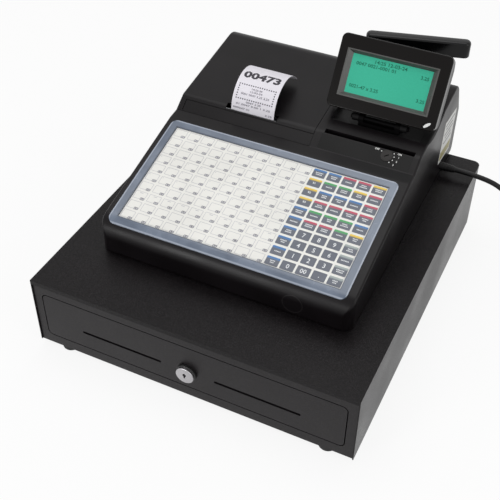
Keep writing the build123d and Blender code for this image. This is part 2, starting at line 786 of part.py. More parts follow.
def cover_region(gap):
    """Prism over the printer's bay: everything that belongs to the hinged cover, plus a gap."""
    pin_y, pin_z = cover_hinge_place()
    high = DRAWER_TOP + 200
    outline = Polyline(
        (CREASE + FIT - gap, DRAWER_TOP + crease_rise() - 6 - gap),
        (CREASE + FIT - gap, high),
        (COVER_REAR + 4 * gap, high),
        (COVER_REAR + 4 * gap, pin_z - 1 - gap),
        (pin_y - 6, pin_z - 6 - gap),
        close=True,
    )
    left = -BODY_WIDTH / 2 - 1
    right = COVER_EDGE_X + gap
    return Pos(left, 0, 0) * extrude(make_face(Plane.YZ * outline), amount=right - left, dir=(1, 0, 0))


def panel_plane(along, sunk=0):
    """Plane on the steep mode panel at a distance up its slope from the crease."""
    slope = atan2(PANEL_RISE, PANEL_RUN)
    origin = (0, CREASE + along * cos(slope), DRAWER_TOP + crease_rise() + along * sin(slope))
    return Plane(origin=origin, x_dir=(1, 0, 0), z_dir=(0, -sin(slope), cos(slope))).offset(-sunk)


def mode_along():
    """Distance of the mode lock's axis up the steep panel."""
    return 0.62 * PANEL_RUN / cos(atan2(PANEL_RISE, PANEL_RUN))


def groove_limits():
    front = CREASE + PANEL_RUN - 1
    return (BAY_LEFT + 2, BAY_RIGHT), (front, front + GROOVE_WIDTH)


def scoop(inset):
    """Hollow below the operator display: a trough along X with a round bottom."""
    y = groove_limits()[1][1] + 6 + SCOOP_RADIUS * 0.62
    surface = DRAWER_TOP + hood_rise(y)
    x = (BAY_LEFT - inset, BAY_RIGHT - 2 + inset)
    trough = rod_x(SCOOP_RADIUS + inset, x, y, surface - SCOOP_DEPTH + SCOOP_RADIUS)
    return trough - block((-200, 200), (0, 600), (surface + 8, DRAWER_TOP + 400))


def hinge_place():
    """Depth and height of the operator display's tilt axis."""
    tilt = radians(DISPLAY_TILT)
    back = BEZEL_DEPTH + HINGE_BACK
    y = DISPLAY_Y - HINGE_DROP * sin(tilt) + back * cos(tilt)
    z = DRAWER_TOP + DISPLAY_RISE - HINGE_DROP * cos(tilt) - back * sin(tilt)
    return y, z


def make_upper_case():
    """Upper shell: nose, keyboard deck, mode panel, display bay and rear wall."""
    outer = rounded_body()
    shell = outer - body_block(WALL)
    mouth_x = BODY_WIDTH / 2 - WALL
    shell -= block((-mouth_x, mouth_x), case_mouth(), (DRAWER_TOP, DRAWER_TOP + SEAM_HEIGHT + WALL + 1))
    shell = shell + bay_walls(outer) - bay_hollows()
    width, length = overlay_size(FIT)
    recess = deck_plate(width, length, OVERLAY_CORNER + FIT, -6, 12)
    shell -= recess - body_block(OVERLAY_SINK)
    shell -= deck_plate(SHEET_WIDTH + 2, SHEET_LENGTH + 2, 0, -5, 5 + 2 * WALL)
    pin_y, pin_z = cover_hinge_place()
    swing_x = (-BODY_WIDTH / 2 - 1, COVER_EDGE_X + COVER_GAP)
    shell -= cover_region(COVER_GAP)
    shell -= rod_x(COVER_SWING, swing_x, pin_y, pin_z)
    shell += cover_supports(outer)
    shell -= rod_x(COVER_PIN_RADIUS, cover_rod_limits(), pin_y, pin_z)
    shell -= rod_z(POST_RADIUS, POST_X, POST_Y, (DRAWER_TOP + 60, DRAWER_TOP + 300))
    shell -= mode_rod(MODE_BODY_RADIUS, -MODE_LENGTH, MODE_LENGTH)
    shell -= mode_rod(MODE_RADIUS, -PANEL_THICK, MODE_LENGTH)
    shell -= rod_x(CORD_RADIUS + 2, (mouth_x - 5, mouth_x + 10), CORD_Y, cord_height())
    shell -= nose_rod(NOSE_PLUG_RADIUS)
    port_x, port_z = port_window()
    shell -= block(port_x, (BODY_REAR - 20, BODY_REAR + 5), port_z)
    for n in range(VENT_COUNT):
        vent_x = VENT_LEFT + n * 2 * VENT_WIDTH
        vent_z = (DRAWER_TOP + VENT_LOW, DRAWER_TOP + VENT_HIGH)
        shell -= block((vent_x, vent_x + VENT_WIDTH), (BODY_REAR - 30, BODY_REAR + 5), vent_z)
    return largest(shell)


def nose_rod(radius):
    """Cylinder through the nose on the blank plug's axis."""
    return rod_y(radius, NOSE_PLUG_X, (0, BODY_FRONT + 20), DRAWER_TOP + NOSE_PLUG_RISE)


def largest(shape):
    """The biggest solid of a shape, without any crumb that a cut has left."""
    return sorted(shape.solids(), key=lambda solid: solid.volume)[-1]


def rounded_body():
    """Full body with its long upper edges rounded."""
    body = body_block(0)
    side = BODY_WIDTH / 2 - BODY_CORNER - 0.1
    low = DRAWER_TOP + NOSE_HEIGHT - NOSE_RADIUS + 10
    edges = [e for e in body.edges() if e.center().Z > low and abs(e.center().X) > side]
    return fillet(edges, EDGE_RADIUS)


def case_mouth():
    """Front and rear limits of the upper case's open bottom."""
    return BODY_FRONT + WALL + 2, BODY_REAR - REAR_UNDERCUT - 2 * WALL


def bay_walls(outer):
    """Material around the groove and under the scoop, before they are hollowed."""
    x, y = groove_limits()
    low = groove_floor() - GROOVE_WALL
    tub_x = (x[0] - GROOVE_WALL, x[1] + GROOVE_WALL)
    tub = block(tub_x, (y[0] - GROOVE_WALL, y[1] + GROOVE_WALL), (low, DRAWER_TOP + 200))
    return (scoop(WALL) + tub) & outer


def groove_floor():
    return DRAWER_TOP + crease_rise() + PANEL_RISE - GROOVE_DEPTH


def bay_hollows():
    """Space of the groove, the scoop and the shallow seat of the mode panel."""
    x, y = groove_limits()
    width, length = panel_size()
    seat = panel_plate(width, length, 5)
    groove = block(x, y, (groove_floor(), DRAWER_TOP + 200))
    return groove + scoop(0) + seat


def panel_plate(width, length, thick):
    """Plate that stands on the mode panel's seat."""
    middle = Pos((BAY_LEFT + BAY_RIGHT) / 2, panel_size()[1] / 2)
    plane = panel_plane(PANEL_MARGIN, PANEL_THICK) * middle
    return plane * extrude(Rectangle(width, length), amount=thick)


def panel_size():
    """Width and length along the slope of the mode panel."""
    slope = atan2(PANEL_RISE, PANEL_RUN)
    return BAY_RIGHT - BAY_LEFT, (PANEL_RUN - 1) / cos(slope) - 2 * PANEL_MARGIN


def make_mode_panel():
    """Thin plate on the steep face that carries the mode lock's position marks."""
    width, length = panel_size()
    plate = panel_plate(width - 2 * RUNNING, length - 2 * RUNNING, PANEL_THICK)
    return plate - mode_rod(MODE_RADIUS, -5, 5)


def mode_plane(height):
    """Plane across the mode lock's axis at a height above the panel."""
    return panel_plane(mode_along()).offset(height) * Pos(MODE_X, 0)


def mode_rod(radius, start, end):
    """Cylinder on the mode lock's axis between two heights above the panel."""
    return mode_plane(start) * extrude(Circle(radius), amount=end - start)


def make_mode_housing():
    """Fixed barrel of the mode lock with a wide collar round the turning face."""
    body = mode_rod(MODE_RADIUS, -PANEL_THICK, MODE_PROUD)
    body += mode_rod(MODE_BODY_RADIUS, -MODE_LENGTH, 0)
    body -= mode_rod(MODE_FACE_RADIUS + RUNNING, -RUNNING, MODE_PROUD + 1)
    return body - mode_rod(MODE_STEM_RADIUS + RUNNING, -MODE_LENGTH - 1, 1)


def make_mode_rotor():
    """Turning face of the mode lock with its key slot, stem and detent arm."""
    rotor = mode_rod(MODE_FACE_RADIUS, 0, MODE_PROUD) + mode_rod(MODE_STEM_RADIUS, -MODE_LENGTH - 3, 0)
    slot = mode_plane(-4) * Rot(0, 0, 35) * extrude(Rectangle(5.6, 1.3), amount=10)
    arm = mode_plane(-MODE_LENGTH - 3) * extrude(Rectangle(17, 4), amount=2)
    return rotor - slot + arm


def cover_hinge_place():
    """Depth and height of the printer cover's hinge axis, inside its rear edge."""
    return COVER_REAR - COVER_PIN_INSET, DRAWER_TOP + hood_rise(HOOD_END) - COVER_PIN_SINK


def cover_rod_limits():
    return -BODY_WIDTH / 2 + WALL + 1, COVER_EDGE_X + COVER_GAP + 2


def cover_supports(outer):
    """Rib beside the cover, ledge under its front edge and ears for its hinge rod."""
    rod = cover_rod_limits()
    rib_x = (COVER_EDGE_X + COVER_GAP, rod[1])
    rib = block(rib_x, (CREASE - 4, COVER_REAR + 12), (DRAWER_TOP + 50, DRAWER_TOP + 200))
    added = rib & (outer - body_block(26))
    top = DRAWER_TOP + crease_rise() - COVER_WALL - 1
    added += block((rod[0] - 1.5, rod[1]), (CREASE - 8, CREASE - 1), (top - 2, top + 1.5)) & outer
    cheek = COVER_EDGE_X - COVER_WALL - COVER_GAP
    added += block((rod[0], cheek), (CREASE - 2, CREASE + 4), (top - 2, top))
    pin_y, pin_z = cover_hinge_place()
    half = COVER_KNUCKLE - 0.4
    for ear_x in ((rod[0], rod[0] + 4), (rod[1] - 5, rod[1])):
        added += block(ear_x, (pin_y - half, pin_y + half), (pin_z - 15, pin_z))
        added += rod_x(half, ear_x, pin_y, pin_z)
        added += block(ear_x, (pin_y - half, BODY_REAR), (pin_z - 15, pin_z - 11)) & outer
    return added


def make_printer_cover():
    """Hinged hood over the printer with the receipt slot in its front edge."""
    region = cover_region(0)
    shell = (rounded_body() - body_block(COVER_WALL)) & region
    right = COVER_EDGE_X
    cheek_y = (CREASE, COVER_REAR - 10)
    cheek = block((right - COVER_WALL, right), cheek_y, (DRAWER_TOP + 60, DRAWER_TOP + 200))
    shell += cheek & (body_block(0) - body_block(8)) & region
    shell -= block(slot_limits(), slot_depth(), (DRAWER_TOP, DRAWER_TOP + 200))
    hollow_x = (-BODY_WIDTH / 2 + 8, right + 1)
    middle = Pos((hollow_x[0] + hollow_x[1]) / 2, 8)
    shell -= panel_plane(1, 0.9) * middle * extrude(Rectangle(hollow_x[1] - hollow_x[0], 15), amount=5)
    pin_y, pin_z = cover_hinge_place()
    left = cover_rod_limits()[0] + 4 + FIT
    for knuckle in ((left, left + 12), (right - 16, right - 4)):
        lug_y = (pin_y - COVER_KNUCKLE, pin_y + COVER_KNUCKLE)
        shell += block(knuckle, lug_y, (pin_z, pin_z + 10)) & body_block(1)
        shell += rod_x(COVER_KNUCKLE, knuckle, pin_y, pin_z)
        shell -= rod_x(COVER_PIN_RADIUS + RUNNING, (knuckle[0] - 1, knuckle[1] + 1), pin_y, pin_z)
    return largest(shell)


def slot_limits():
    """Left and right ends of the receipt slot."""
    return PAPER_X - PAPER_WIDTH / 2 - SLOT_LEFT, PAPER_X + PAPER_WIDTH / 2 + SLOT_RIGHT


def slot_depth():
    return PAPER_SLOT_FRONT, PAPER_SLOT_FRONT + PAPER_SLOT_GAP


def make_cover_rod():
    pin_y, pin_z = cover_hinge_place()
    return rod_x(COVER_PIN_RADIUS, cover_rod_limits(), pin_y, pin_z)


def make_tear_bar():
    """Steel strip on the front edge of the receipt slot."""
    x = slot_limits()
    top = slot_lip_height()
    strip_y = (PAPER_SLOT_FRONT, PAPER_SLOT_FRONT + 0.5)
    return block((x[0] + 0.5, x[1] - 0.5), strip_y, (top - 2.5, top + 0.5))


def slot_lip_height():
    """Height of the cover's surface at the front edge of the receipt slot."""
    return DRAWER_TOP + crease_rise() + (PAPER_SLOT_FRONT - CREASE) * PANEL_RISE / PANEL_RUN


def make_lower_case():
    """Shallow tray that closes the body from below, with posts for what stands on it."""
    x = BODY_WIDTH / 2 - WALL - FIT
    front, rear = case_mouth()
    y = (front + FIT, rear - FIT)
    top = DRAWER_TOP + LOWER_WALL_HEIGHT
    tray = block((-x, x), y, (DRAWER_TOP, top))
    tray = fillet(tray.edges().filter_by(Axis.Z), BODY_CORNER)
    floor = DRAWER_TOP + FLOOR_THICK
    hollow_y = (y[0] + FLOOR_THICK, y[1] - FLOOR_THICK)
    hollow = block((FLOOR_THICK - x, x - FLOOR_THICK), hollow_y, (floor, top + 1))
    tray -= fillet(hollow.edges().filter_by(Axis.Z), BODY_CORNER - FLOOR_THICK)
    for post_x, post_y in printer_feet():
        tray += rod_z(4, post_x, post_y, (floor, DRAWER_TOP + PRINTER_BASE))
    for post_x, post_y in board_posts():
        tray += rod_z(3, post_x, post_y, (floor, DRAWER_TOP + BOARD_BASE))
    return tray - rod_x(CORD_RADIUS + 5, (x - 20, x + 2), CORD_Y, cord_height())


def printer_feet():
    left, right = printer_plates()
    return [(x, y) for x in (left + 8, right - 8) for y in (PLATEN_Y - 12, PLATEN_Y + 22)]


def board_posts():
    """Places of the board's four posts, one margin inside its corners."""
    x, y = board_limits()
    across = (x[0] + BOARD_MARGIN, x[1] - BOARD_MARGIN)
    along = (y[0] + BOARD_MARGIN, y[1] - BOARD_MARGIN)
    return [(post_x, post_y) for post_x in across for post_y in along]


def make_nose_plug():
    """Round blank cap in the nose, cut from the same curved wall, with a rim behind it."""
    cap = (body_block(0) - body_block(WALL)) & nose_rod(NOSE_PLUG_RADIUS - FIT)
    rim = (body_block(WALL) - body_block(WALL + NOSE_PLUG_RIM)) & nose_rod(NOSE_PLUG_RADIUS - FIT)
    front = block((0, BODY_WIDTH / 2), (0, case_mouth()[0]), (DRAWER_TOP, DRAWER_TOP + 2 * NOSE_HEIGHT))
    return largest((cap + rim) & front)


# ---------------------------------------------------------------- keyboard

def make_key_overlay():
    """Clear rim that frames the key sheet and follows the deck and the nose."""
    width, length = overlay_size()
    skin = body_block(-OVERLAY_PROUD) - body_block(OVERLAY_SINK)
    rim = skin & deck_plate(width, length, OVERLAY_CORNER, -6, 12)
    return largest(rim - deck_plate(SHEET_WIDTH, SHEET_LENGTH, 0, -8, 16))


def make_key_sheet():
    """Printed sheet with the key legends."""
    return deck_plate(SHEET_WIDTH - 2 * RUNNING, SHEET_LENGTH - 2 * RUNNING, 0, SHEET_SINK, LABEL_THICK)


def make_key_board():
    """Membrane switch board under the sheet, with a wider flange below the deck."""
    top = SHEET_SINK + LABEL_THICK
    board = deck_plate(SHEET_WIDTH, SHEET_LENGTH, 0, top, WALL + 0.5 - top)
    flange = deck_plate(SHEET_WIDTH + 12, SHEET_LENGTH + 12, 0, WALL, KEY_BOARD_THICK)
    return board + (flange & body_block(WALL + RUNNING))


# ---------------------------------------------------------------- printer

def printer_plates():
    """Outer faces of the printer's two side plates."""
    reach = PAPER_WIDTH / 2 + PLATE_GAP
    return PAPER_X - reach, PAPER_X + reach


def platen_place():
    return PLATEN_Y, DRAWER_TOP + PLATEN_RISE


def motor_place():
    """Depth and height of the motor's axis, one gear centre distance from the platen."""
    distance = gear_radius(PLATEN_TEETH) + gear_radius(PINION_TEETH) + GEAR_BACKLASH
    y, z = platen_place()
    return y + distance * cos(radians(GEAR_ANGLE)), z + distance * sin(radians(GEAR_ANGLE))


def make_printer_frame():
    """Folded steel frame: base, two side plates and a bracket for the motor."""
    left, right = printer_plates()
    y = (PLATEN_Y - 20, PLATEN_Y + 30)
    base = (DRAWER_TOP + PRINTER_BASE, DRAWER_TOP + PRINTER_BASE + PLATE_THICK)
    bracket_x = motor_limits()[1]
    frame = block((bracket_x, right), y, base)
    for x in (left, right - PLATE_THICK):
        frame += block((x, x + PLATE_THICK), y, (base[0], DRAWER_TOP + PLATEN_RISE + 12))
    motor_y, motor_z = motor_place()
    frame += block((bracket_x, bracket_x + PLATE_THICK), y, (base[0], motor_z + MOTOR_RADIUS))
    platen_y, platen_z = platen_place()
    frame -= rod_x(SHAFT_RADIUS + RUNNING, (left - 1, right + 1), platen_y, platen_z)
    hole = gear_radius(PINION_TEETH) + 2
    return frame - rod_x(hole, (bracket_x - 1, bracket_x + 2), motor_y, motor_z)


def gear_radius(teeth):
    """Pitch radius of a gear."""
    return teeth * GEAR_MODULE / 2


def make_platen():
    """Rubber roller on its steel shaft."""
    left, right = printer_plates()
    y, z = platen_place()
    return rod_x(PLATEN_RADIUS, (left + 2, right - 2), y, z) - rod_x(SHAFT_RADIUS, (left, right), y, z)


def make_platen_shaft():
    """Steel shaft of the platen with its gear."""
    left, right = printer_plates()
    y, z = platen_place()
    shaft = rod_x(SHAFT_RADIUS, (gear_limits()[0] - 1, right + 2), y, z)
    return shaft + gear_at(PLATEN_TEETH, platen_place(), GEAR_ANGLE)


def gear(teeth):
    """Flat spur gear with one tooth along the local X direction."""
    pitch = gear_radius(teeth)
    tip = pitch + GEAR_MODULE
    root = pitch - 1.25 * GEAR_MODULE
    half = pi / 2 / teeth - GEAR_BACKLASH / 2 / pitch
    side = ((root, GEAR_ROOT * half), (pitch, half), (tip, GEAR_TIP * half))
    flank = [(radius, -angle) for radius, angle in side] + list(reversed(side))
    points = []
    for n in range(teeth):
        middle = 2 * pi * n / teeth
        for radius, angle in flank:
            points.append((radius * cos(middle + angle), radius * sin(middle + angle)))
    return make_face(Polyline(*points, close=True))


def gear_at(teeth, place, turn):
    """Gear on a shaft's axis, turned by an angle in degrees."""
    x = gear_limits()
    axis = Plane(origin=(x[0], place[0], place[1]), x_dir=(0, 1, 0), z_dir=(1, 0, 0))
    return axis * Rot(0, 0, turn) * extrude(gear(teeth), amount=x[1] - x[0])


def gear_limits():
    left, _ = printer_plates()
    return left - GEAR_WIDTH - 0.6, left - 0.6


def make_motor_pinion():
    """Pinion and shaft of the paper motor."""
    y, z = motor_place()
    shaft = rod_x(MOTOR_SHAFT_RADIUS, (motor_limits()[0] + 5 + FIT, gear_limits()[1]), y, z)
    return shaft + gear_at(PINION_TEETH, motor_place(), GEAR_ANGLE + 180 + 180 / PINION_TEETH)


def motor_limits():
    """Ends of the motor's can, its front on the frame's bracket."""
    front = gear_limits()[0] - PLATE_THICK - 1.4
    return front - MOTOR_LENGTH, front


def make_paper_motor():
    """Stepper motor on the frame's bracket."""
    y, z = motor_place()
    x = motor_limits()
    can = rod_x(MOTOR_RADIUS, x, y, z)
    can = fillet(can.edges().group_by(Axis.X)[0], 1)
    return can - rod_x(MOTOR_SHAFT_RADIUS + RUNNING, (x[0] + 5, x[1] + 1), y, z)


def make_thermal_head():
    """Thermal line head with cooling fins on a bar between the side plates."""
    left, right = printer_plates()
    y, z = platen_place()
    face = y - PLATEN_RADIUS - PAPER_THICK - 2 * SEAT
    head = block((left + 3, right - 3), (face - 2, face), (z - 9, z + 7))
    head += block((left + PLATE_THICK, right - PLATE_THICK), (face - 4, face - 2), (z - 11, z + 9))
    for n in range(5):
        fin_z = z - 9 + n * 4
        head += block((left + 6, right - 6), (face - 8, face - 4), (fin_z, fin_z + 1.5))
    return head


def roll_place():
    return ROLL_Y, DRAWER_TOP + ROLL_RISE


def bin_plates():
    """Inner faces of the paper bin's two cheeks."""
    reach = PAPER_WIDTH / 2 + BIN_GAP
    return PAPER_X - reach, PAPER_X + reach


def make_paper_bin():
    """Cradle behind the printer: a floor, two cheeks and the paper roll's spindle."""
    inner = bin_plates()
    y, z = roll_place()
    floor = (DRAWER_TOP + FLOOR_THICK, DRAWER_TOP + FLOOR_THICK + 2)
    depth = (y - 30, y + 30)
    cradle = block((inner[0] - 2, inner[1] + 2), depth, floor)
    for x in ((inner[0] - 2, inner[0]), (inner[1], inner[1] + 2)):
        cradle += block(x, depth, (floor[0], z - 18))
        cradle += block(x, (y - 12, y + 12), (floor[0], z + 10))
    return cradle + rod_x(SPINDLE_RADIUS, (inner[0] - 3, inner[1] + 3), y, z)


def make_paper_roll():
    y, z = roll_place()
    x = (PAPER_X - PAPER_WIDTH / 2, PAPER_X + PAPER_WIDTH / 2)
    return rod_x(ROLL_RADIUS, x, y, z) - rod_x(SPINDLE_RADIUS + RUNNING, (x[0] - 1, x[1] + 1), y, z)


def on_circle(centre, radius, angle):
    """Point of a circle in the side view."""
    return centre[0] + radius * cos(angle), centre[1] + radius * sin(angle)


def paper_strip(edges):
    """Paper of full width from the edges of its side view."""
    return Pos(PAPER_X, 0, 0) * extrude(make_face(Plane.YZ * edges), amount=PAPER_WIDTH / 2, both=True)


def make_paper_web():
    """Paper from the bottom of the roll, round the front of the platen and up to the slot."""
    roll = roll_place()
    platen = platen_place()
    roll_radius = ROLL_RADIUS + SEAT
    platen_radius = PLATEN_RADIUS + SEAT
    span = hypot(platen[0] - roll[0], platen[1] - roll[1])
    across = atan2(platen[1] - roll[1], platen[0] - roll[0])
    normal = across - asin((roll_radius - platen_radius) / span) + pi / 2
    edges = Curve()
    ends = []
    for extra in (0, PAPER_THICK):
        start = on_circle(roll, roll_radius + extra, normal)
        touch = on_circle(platen, platen_radius + extra, normal)
        middle = on_circle(platen, platen_radius + extra, (normal + pi) / 2)
        leave = on_circle(platen, platen_radius + extra, pi)
        end = (leave[0], slot_lip_height() - 6)
        edges += Line(start, touch) + ThreePointArc(touch, middle, leave) + Line(leave, end)
        ends += [start, end]
    return paper_strip(edges + Line(ends[0], ends[2]) + Line(ends[1], ends[3]))


def make_receipt():
    """Printed slip that stands out of the slot and curls back over the hood."""
    low = slot_lip_height() - 4
    front = PAPER_SLOT_FRONT + 0.9
    centre = (front + RECEIPT_RADIUS, DRAWER_TOP + crease_rise() + PANEL_RISE - 4)
    end = radians(180 - RECEIPT_TURN)
    edges = Curve()
    ends = []
    for radius in (RECEIPT_RADIUS, RECEIPT_RADIUS - PAPER_THICK):
        points = [on_circle(centre, radius, angle) for angle in (pi, (pi + end) / 2, end)]
        foot = (points[0][0], low)
        edges += Line(foot, points[0]) + ThreePointArc(*points)
        ends += [foot, points[2]]
    return paper_strip(edges + Line(ends[0], ends[2]) + Line(ends[1], ends[3]))


# ---------------------------------------------------------------- boards and rear

def make_main_board():
    """Circuit board on posts with its processor, a long connector and a capacitor."""
    z = DRAWER_TOP + BOARD_BASE
    top = z + BOARD_THICK
    x, y = board_limits()
    board = block(x, y, (z, top))
    processor = Box(PROCESSOR_SIDE, PROCESSOR_SIDE, PROCESSOR_THICK)
    board += Pos((x[0] + x[1]) / 2, (y[0] + y[1]) / 2, top + PROCESSOR_THICK / 2) * processor
    connector_x = (x[0] + BOARD_MARGIN, x[0] + BOARD_MARGIN + CONNECTOR_DEPTH)
    connector_y = (y[0] + 2 * BOARD_MARGIN, y[0] + 2 * BOARD_MARGIN + CONNECTOR_LENGTH)
    board += block(connector_x, connector_y, (top, top + CONNECTOR_HEIGHT))
    capacitor_x = x[1] - BOARD_MARGIN - 2 * CAPACITOR_RADIUS
    capacitor_y = y[0] + BOARD_MARGIN + CAPACITOR_RADIUS
    return board + rod_z(CAPACITOR_RADIUS, capacitor_x, capacitor_y, (top, top + CAPACITOR_HEIGHT))


def board_limits():
    return (BOARD_LEFT, BOARD_LEFT + BOARD_WIDTH), (BOARD_FRONT, BOARD_FRONT + BOARD_LENGTH)


def make_power_supply():
    """Mains transformer on the floor below the keyboard: core, winding and foot plate."""
    floor = DRAWER_TOP + FLOOR_THICK
    place = Pos(TRANSFORMER_X, TRANSFORMER_Y, floor)
    core = Pos(0, 0, CORE_HEIGHT / 2) * Box(CORE_WIDTH, CORE_DEPTH, CORE_HEIGHT)
    winding = Box(WINDING_WIDTH, WINDING_DEPTH, WINDING_HEIGHT)
    winding = fillet(winding.edges().filter_by(Axis.Z), WINDING_CORNER)
    foot = Pos(0, 0, FOOT_PLATE / 2) * Box(CORE_WIDTH + CORE_DEPTH / 2, CORE_DEPTH / 2, FOOT_PLATE)
    return place * (core + Pos(0, 0, CORE_HEIGHT / 2) * winding + foot)


def make_rear_ports():
    """Plate at the back with the drawer and data sockets."""
    x, z = port_window()
    flange_x = (x[0] - PORT_RIM, x[1] + PORT_RIM)
    flange = block(flange_x, (BODY_REAR - 10, BODY_REAR), (z[0] - PORT_RIM, z[1] + PORT_RIM))
    ports = flange & body_block(WALL + RUNNING)
    face = BODY_REAR - PORT_SINK
    ports += block((x[0] + FIT, x[1] - FIT), (BODY_REAR - 2 * WALL, face), (z[0] + FIT, z[1] - FIT))
    socket_y = (face - SOCKET_PROUD, face + SOCKET_PROUD + 1)
    for centre in (-SOCKET_PITCH, 0):
        half = SOCKET_WIDTH / 2
        rim_z = (z[0] + SOCKET_MARGIN / 2, z[1] - SOCKET_MARGIN / 2)
        ports += block((centre - half, centre + half), (face, face + SOCKET_PROUD), rim_z)
        hole = half - SOCKET_MARGIN
        ports -= block((centre - hole, centre + hole), socket_y, (z[0] + SOCKET_MARGIN, z[1] - SOCKET_MARGIN))
    jack_x = (SOCKET_PITCH - SOCKET_WIDTH / 4, SOCKET_PITCH + SOCKET_WIDTH / 4)
    return ports - block(jack_x, socket_y, (z[0] + SOCKET_MARGIN, z[1] - SOCKET_MARGIN))


def port_window():
    return (-PORT_HALF_WIDTH, PORT_HALF_WIDTH), (DRAWER_TOP + PORT_LOW, DRAWER_TOP + PORT_HIGH)


# ---------------------------------------------------------------- operator display

def tilted(shape):
    """Set a shape from the display's own frame: X across, Y into it, Z up its face."""
    return Pos(DISPLAY_X, DISPLAY_Y, DRAWER_TOP + DISPLAY_RISE) * Rot(-DISPLAY_TILT, 0, 0) * shape


def window_limits():
    half = DISPLAY_WIDTH / 2
    return (-half + WINDOW_LEFT, half - WINDOW_RIGHT), (WINDOW_BOTTOM, DISPLAY_HEIGHT - WINDOW_TOP)


def glass_limits(overlap):
    """Limits of the glass that shows inside the bevel, grown by overlap."""
    x, z = window_limits()
    side = BEVEL_SIDE - overlap
    end = BEVEL_END - overlap
    return (x[0] + side, x[1] - side), (z[0] + end, z[1] - end)


def make_display_bezel():
    half = DISPLAY_WIDTH / 2
    frame = block((-half, half), (0, BEZEL_DEPTH), (0, DISPLAY_HEIGHT))
    frame = fillet(frame.edges().filter_by(Axis.Y), DISPLAY_CORNER)
    frame = fillet(frame.faces().sort_by(Axis.Y)[0].edges(), 1.5)
    x, z = window_limits()
    frame -= block(x, (-1, BEZEL_DEPTH + 1), z)
    frame -= lens_block()
    return tilted(frame)


def lens_block():
    """Pocket for the small light window in the bezel's lower right corner."""
    x = DISPLAY_WIDTH / 2 - 11
    lens = Plane.XZ * Pos(x, 6.5) * Rot(0, 0, 38) * Ellipse(6, 2.6)
    return Pos(0, -1, 0) * extrude(lens, amount=4, dir=(0, 1, 0))


def make_display_surround():
    """Grey frame that slopes from the bezel's face down to the glass."""
    x, z = window_limits()
    body = block(x, (0.3, BEVEL_DEPTH), z)
    inner_x, inner_z = glass_limits(0)
    front = Plane.XZ.offset(1) * rectangle_between(x, z, 0.4)
    back = Plane.XZ.offset(-BEVEL_DEPTH - 0.5) * rectangle_between(inner_x, inner_z, 0)
    return tilted(body - loft([front, back]))


def rectangle_between(x, z, inset):
    """Rectangle on the XZ plane between limits, shrunk by inset."""
    size = (x[1] - x[0] - 2 * inset, z[1] - z[0] - 2 * inset)
    return Pos((x[0] + x[1]) / 2, (z[0] + z[1]) / 2) * Rectangle(*size)


def make_lcd_module():
    """Glass, backlight and circuit board of the liquid crystal display."""
    x, z = glass_limits(3)
    glass_back = BEVEL_DEPTH + 1.8
    module = block(x, (BEVEL_DEPTH, glass_back), z)
    x, z = glass_limits(5)
    module += block(x, (glass_back, glass_back + 5), z)
    return tilted(module + block(x, (glass_back + 5, glass_back + 6.6), (z[0] - 4, z[1] + 3)))


def make_display_shell():
    """Rear housing with two knuckles that turn on the hinge pin."""
    half = DISPLAY_WIDTH / 2 - 0.8
    z = (0.8, DISPLAY_HEIGHT - 0.8)
    y = (BEZEL_DEPTH, BEZEL_DEPTH + SHELL_DEPTH)
    side = Polyline(
        (y[0], z[0]),
        (y[0], z[1]),
        (y[1] - SHELL_TOP_RUN, z[1]),
        (y[1], z[1] - SHELL_TOP_DROP),
        (y[1], z[0] + SHELL_FOOT),
        (y[1] - SHELL_FOOT, z[0]),
        close=True,
    )
    shell = extrude(make_face(Plane.YZ * side), amount=half, both=True)
    front = block((-half, half), y, z)
    shell &= fillet(front.edges().filter_by(Axis.Y), DISPLAY_CORNER - 0.8)
    rim_z = (z[0] + SHELL_WALL, z[1] - SHELL_WALL)
    shell -= block((SHELL_WALL - half, half - SHELL_WALL), (y[0] - 1, y[1] - SHELL_TOP_RUN), rim_z)
    deep_z = (z[0] + SHELL_FOOT + 3 * SHELL_WALL, z[1] - SHELL_TOP_DROP - 2 * SHELL_WALL)
    deep_x = half - 5 * SHELL_WALL
    shell -= block((-deep_x, deep_x), (y[0] - 1, y[1] - SHELL_WALL), deep_z)
    pin_y = y[0] + HINGE_BACK
    for ear_x in hinge_ears():
        shell += block(ear_x, (y[0] + 1, y[0] + HINGE_KNUCKLE), (-HINGE_DROP, 4))
        shell += rod_x(HINGE_PIN_RADIUS + 2, ear_x, pin_y, -HINGE_DROP)
        shell -= rod_x(HINGE_PIN_RADIUS + RUNNING, (ear_x[0] - 1, ear_x[1] + 1), pin_y, -HINGE_DROP)
    return tilted(shell)


def hinge_ears():
    """Limits along X of the display's two knuckles, in its own frame."""
    half = HINGE_KNUCKLE / 2
    return [(side * HINGE_SPREAD - half, side * HINGE_SPREAD + half) for side in (-1, 1)]


def make_display_stand():
    """Bracket on the scoop's floor with two ears that hold the hinge pin."""
    pin_y, pin_z = hinge_place()
    half = HINGE_SPREAD - HINGE_KNUCKLE / 2 - FIT
    stand = block((DISPLAY_X - half, DISPLAY_X + half), (pin_y - 5, pin_y + 9), (DRAWER_TOP + 60, pin_z - 3))
    stand &= scoop(0)
    for side in (-1, 1):
        ear_x = sorted((DISPLAY_X + side * half, DISPLAY_X + side * (half - 6)))
        stand += rod_x(HINGE_PIN_RADIUS + 2, ear_x, pin_y, pin_z)
        stand += block(ear_x, (pin_y - 5, pin_y + 5), (pin_z - 4, pin_z))
    return stand - rod_x(HINGE_PIN_RADIUS, (DISPLAY_X - 2 * half, DISPLAY_X + 2 * half), pin_y, pin_z)


def make_display_pin():
    pin_y, pin_z = hinge_place()
    half = HINGE_SPREAD + HINGE_KNUCKLE / 2 + 2
    return rod_x(HINGE_PIN_RADIUS, (DISPLAY_X - half, DISPLAY_X + half), pin_y, pin_z)


# ---------------------------------------------------------------- customer display

def yawed(shape):
    """Set a shape from the customer display's own frame, X along the bar."""
    return Pos(POST_X, POST_Y, DRAWER_TOP) * Rot(0, 0, BAR_YAW) * shape


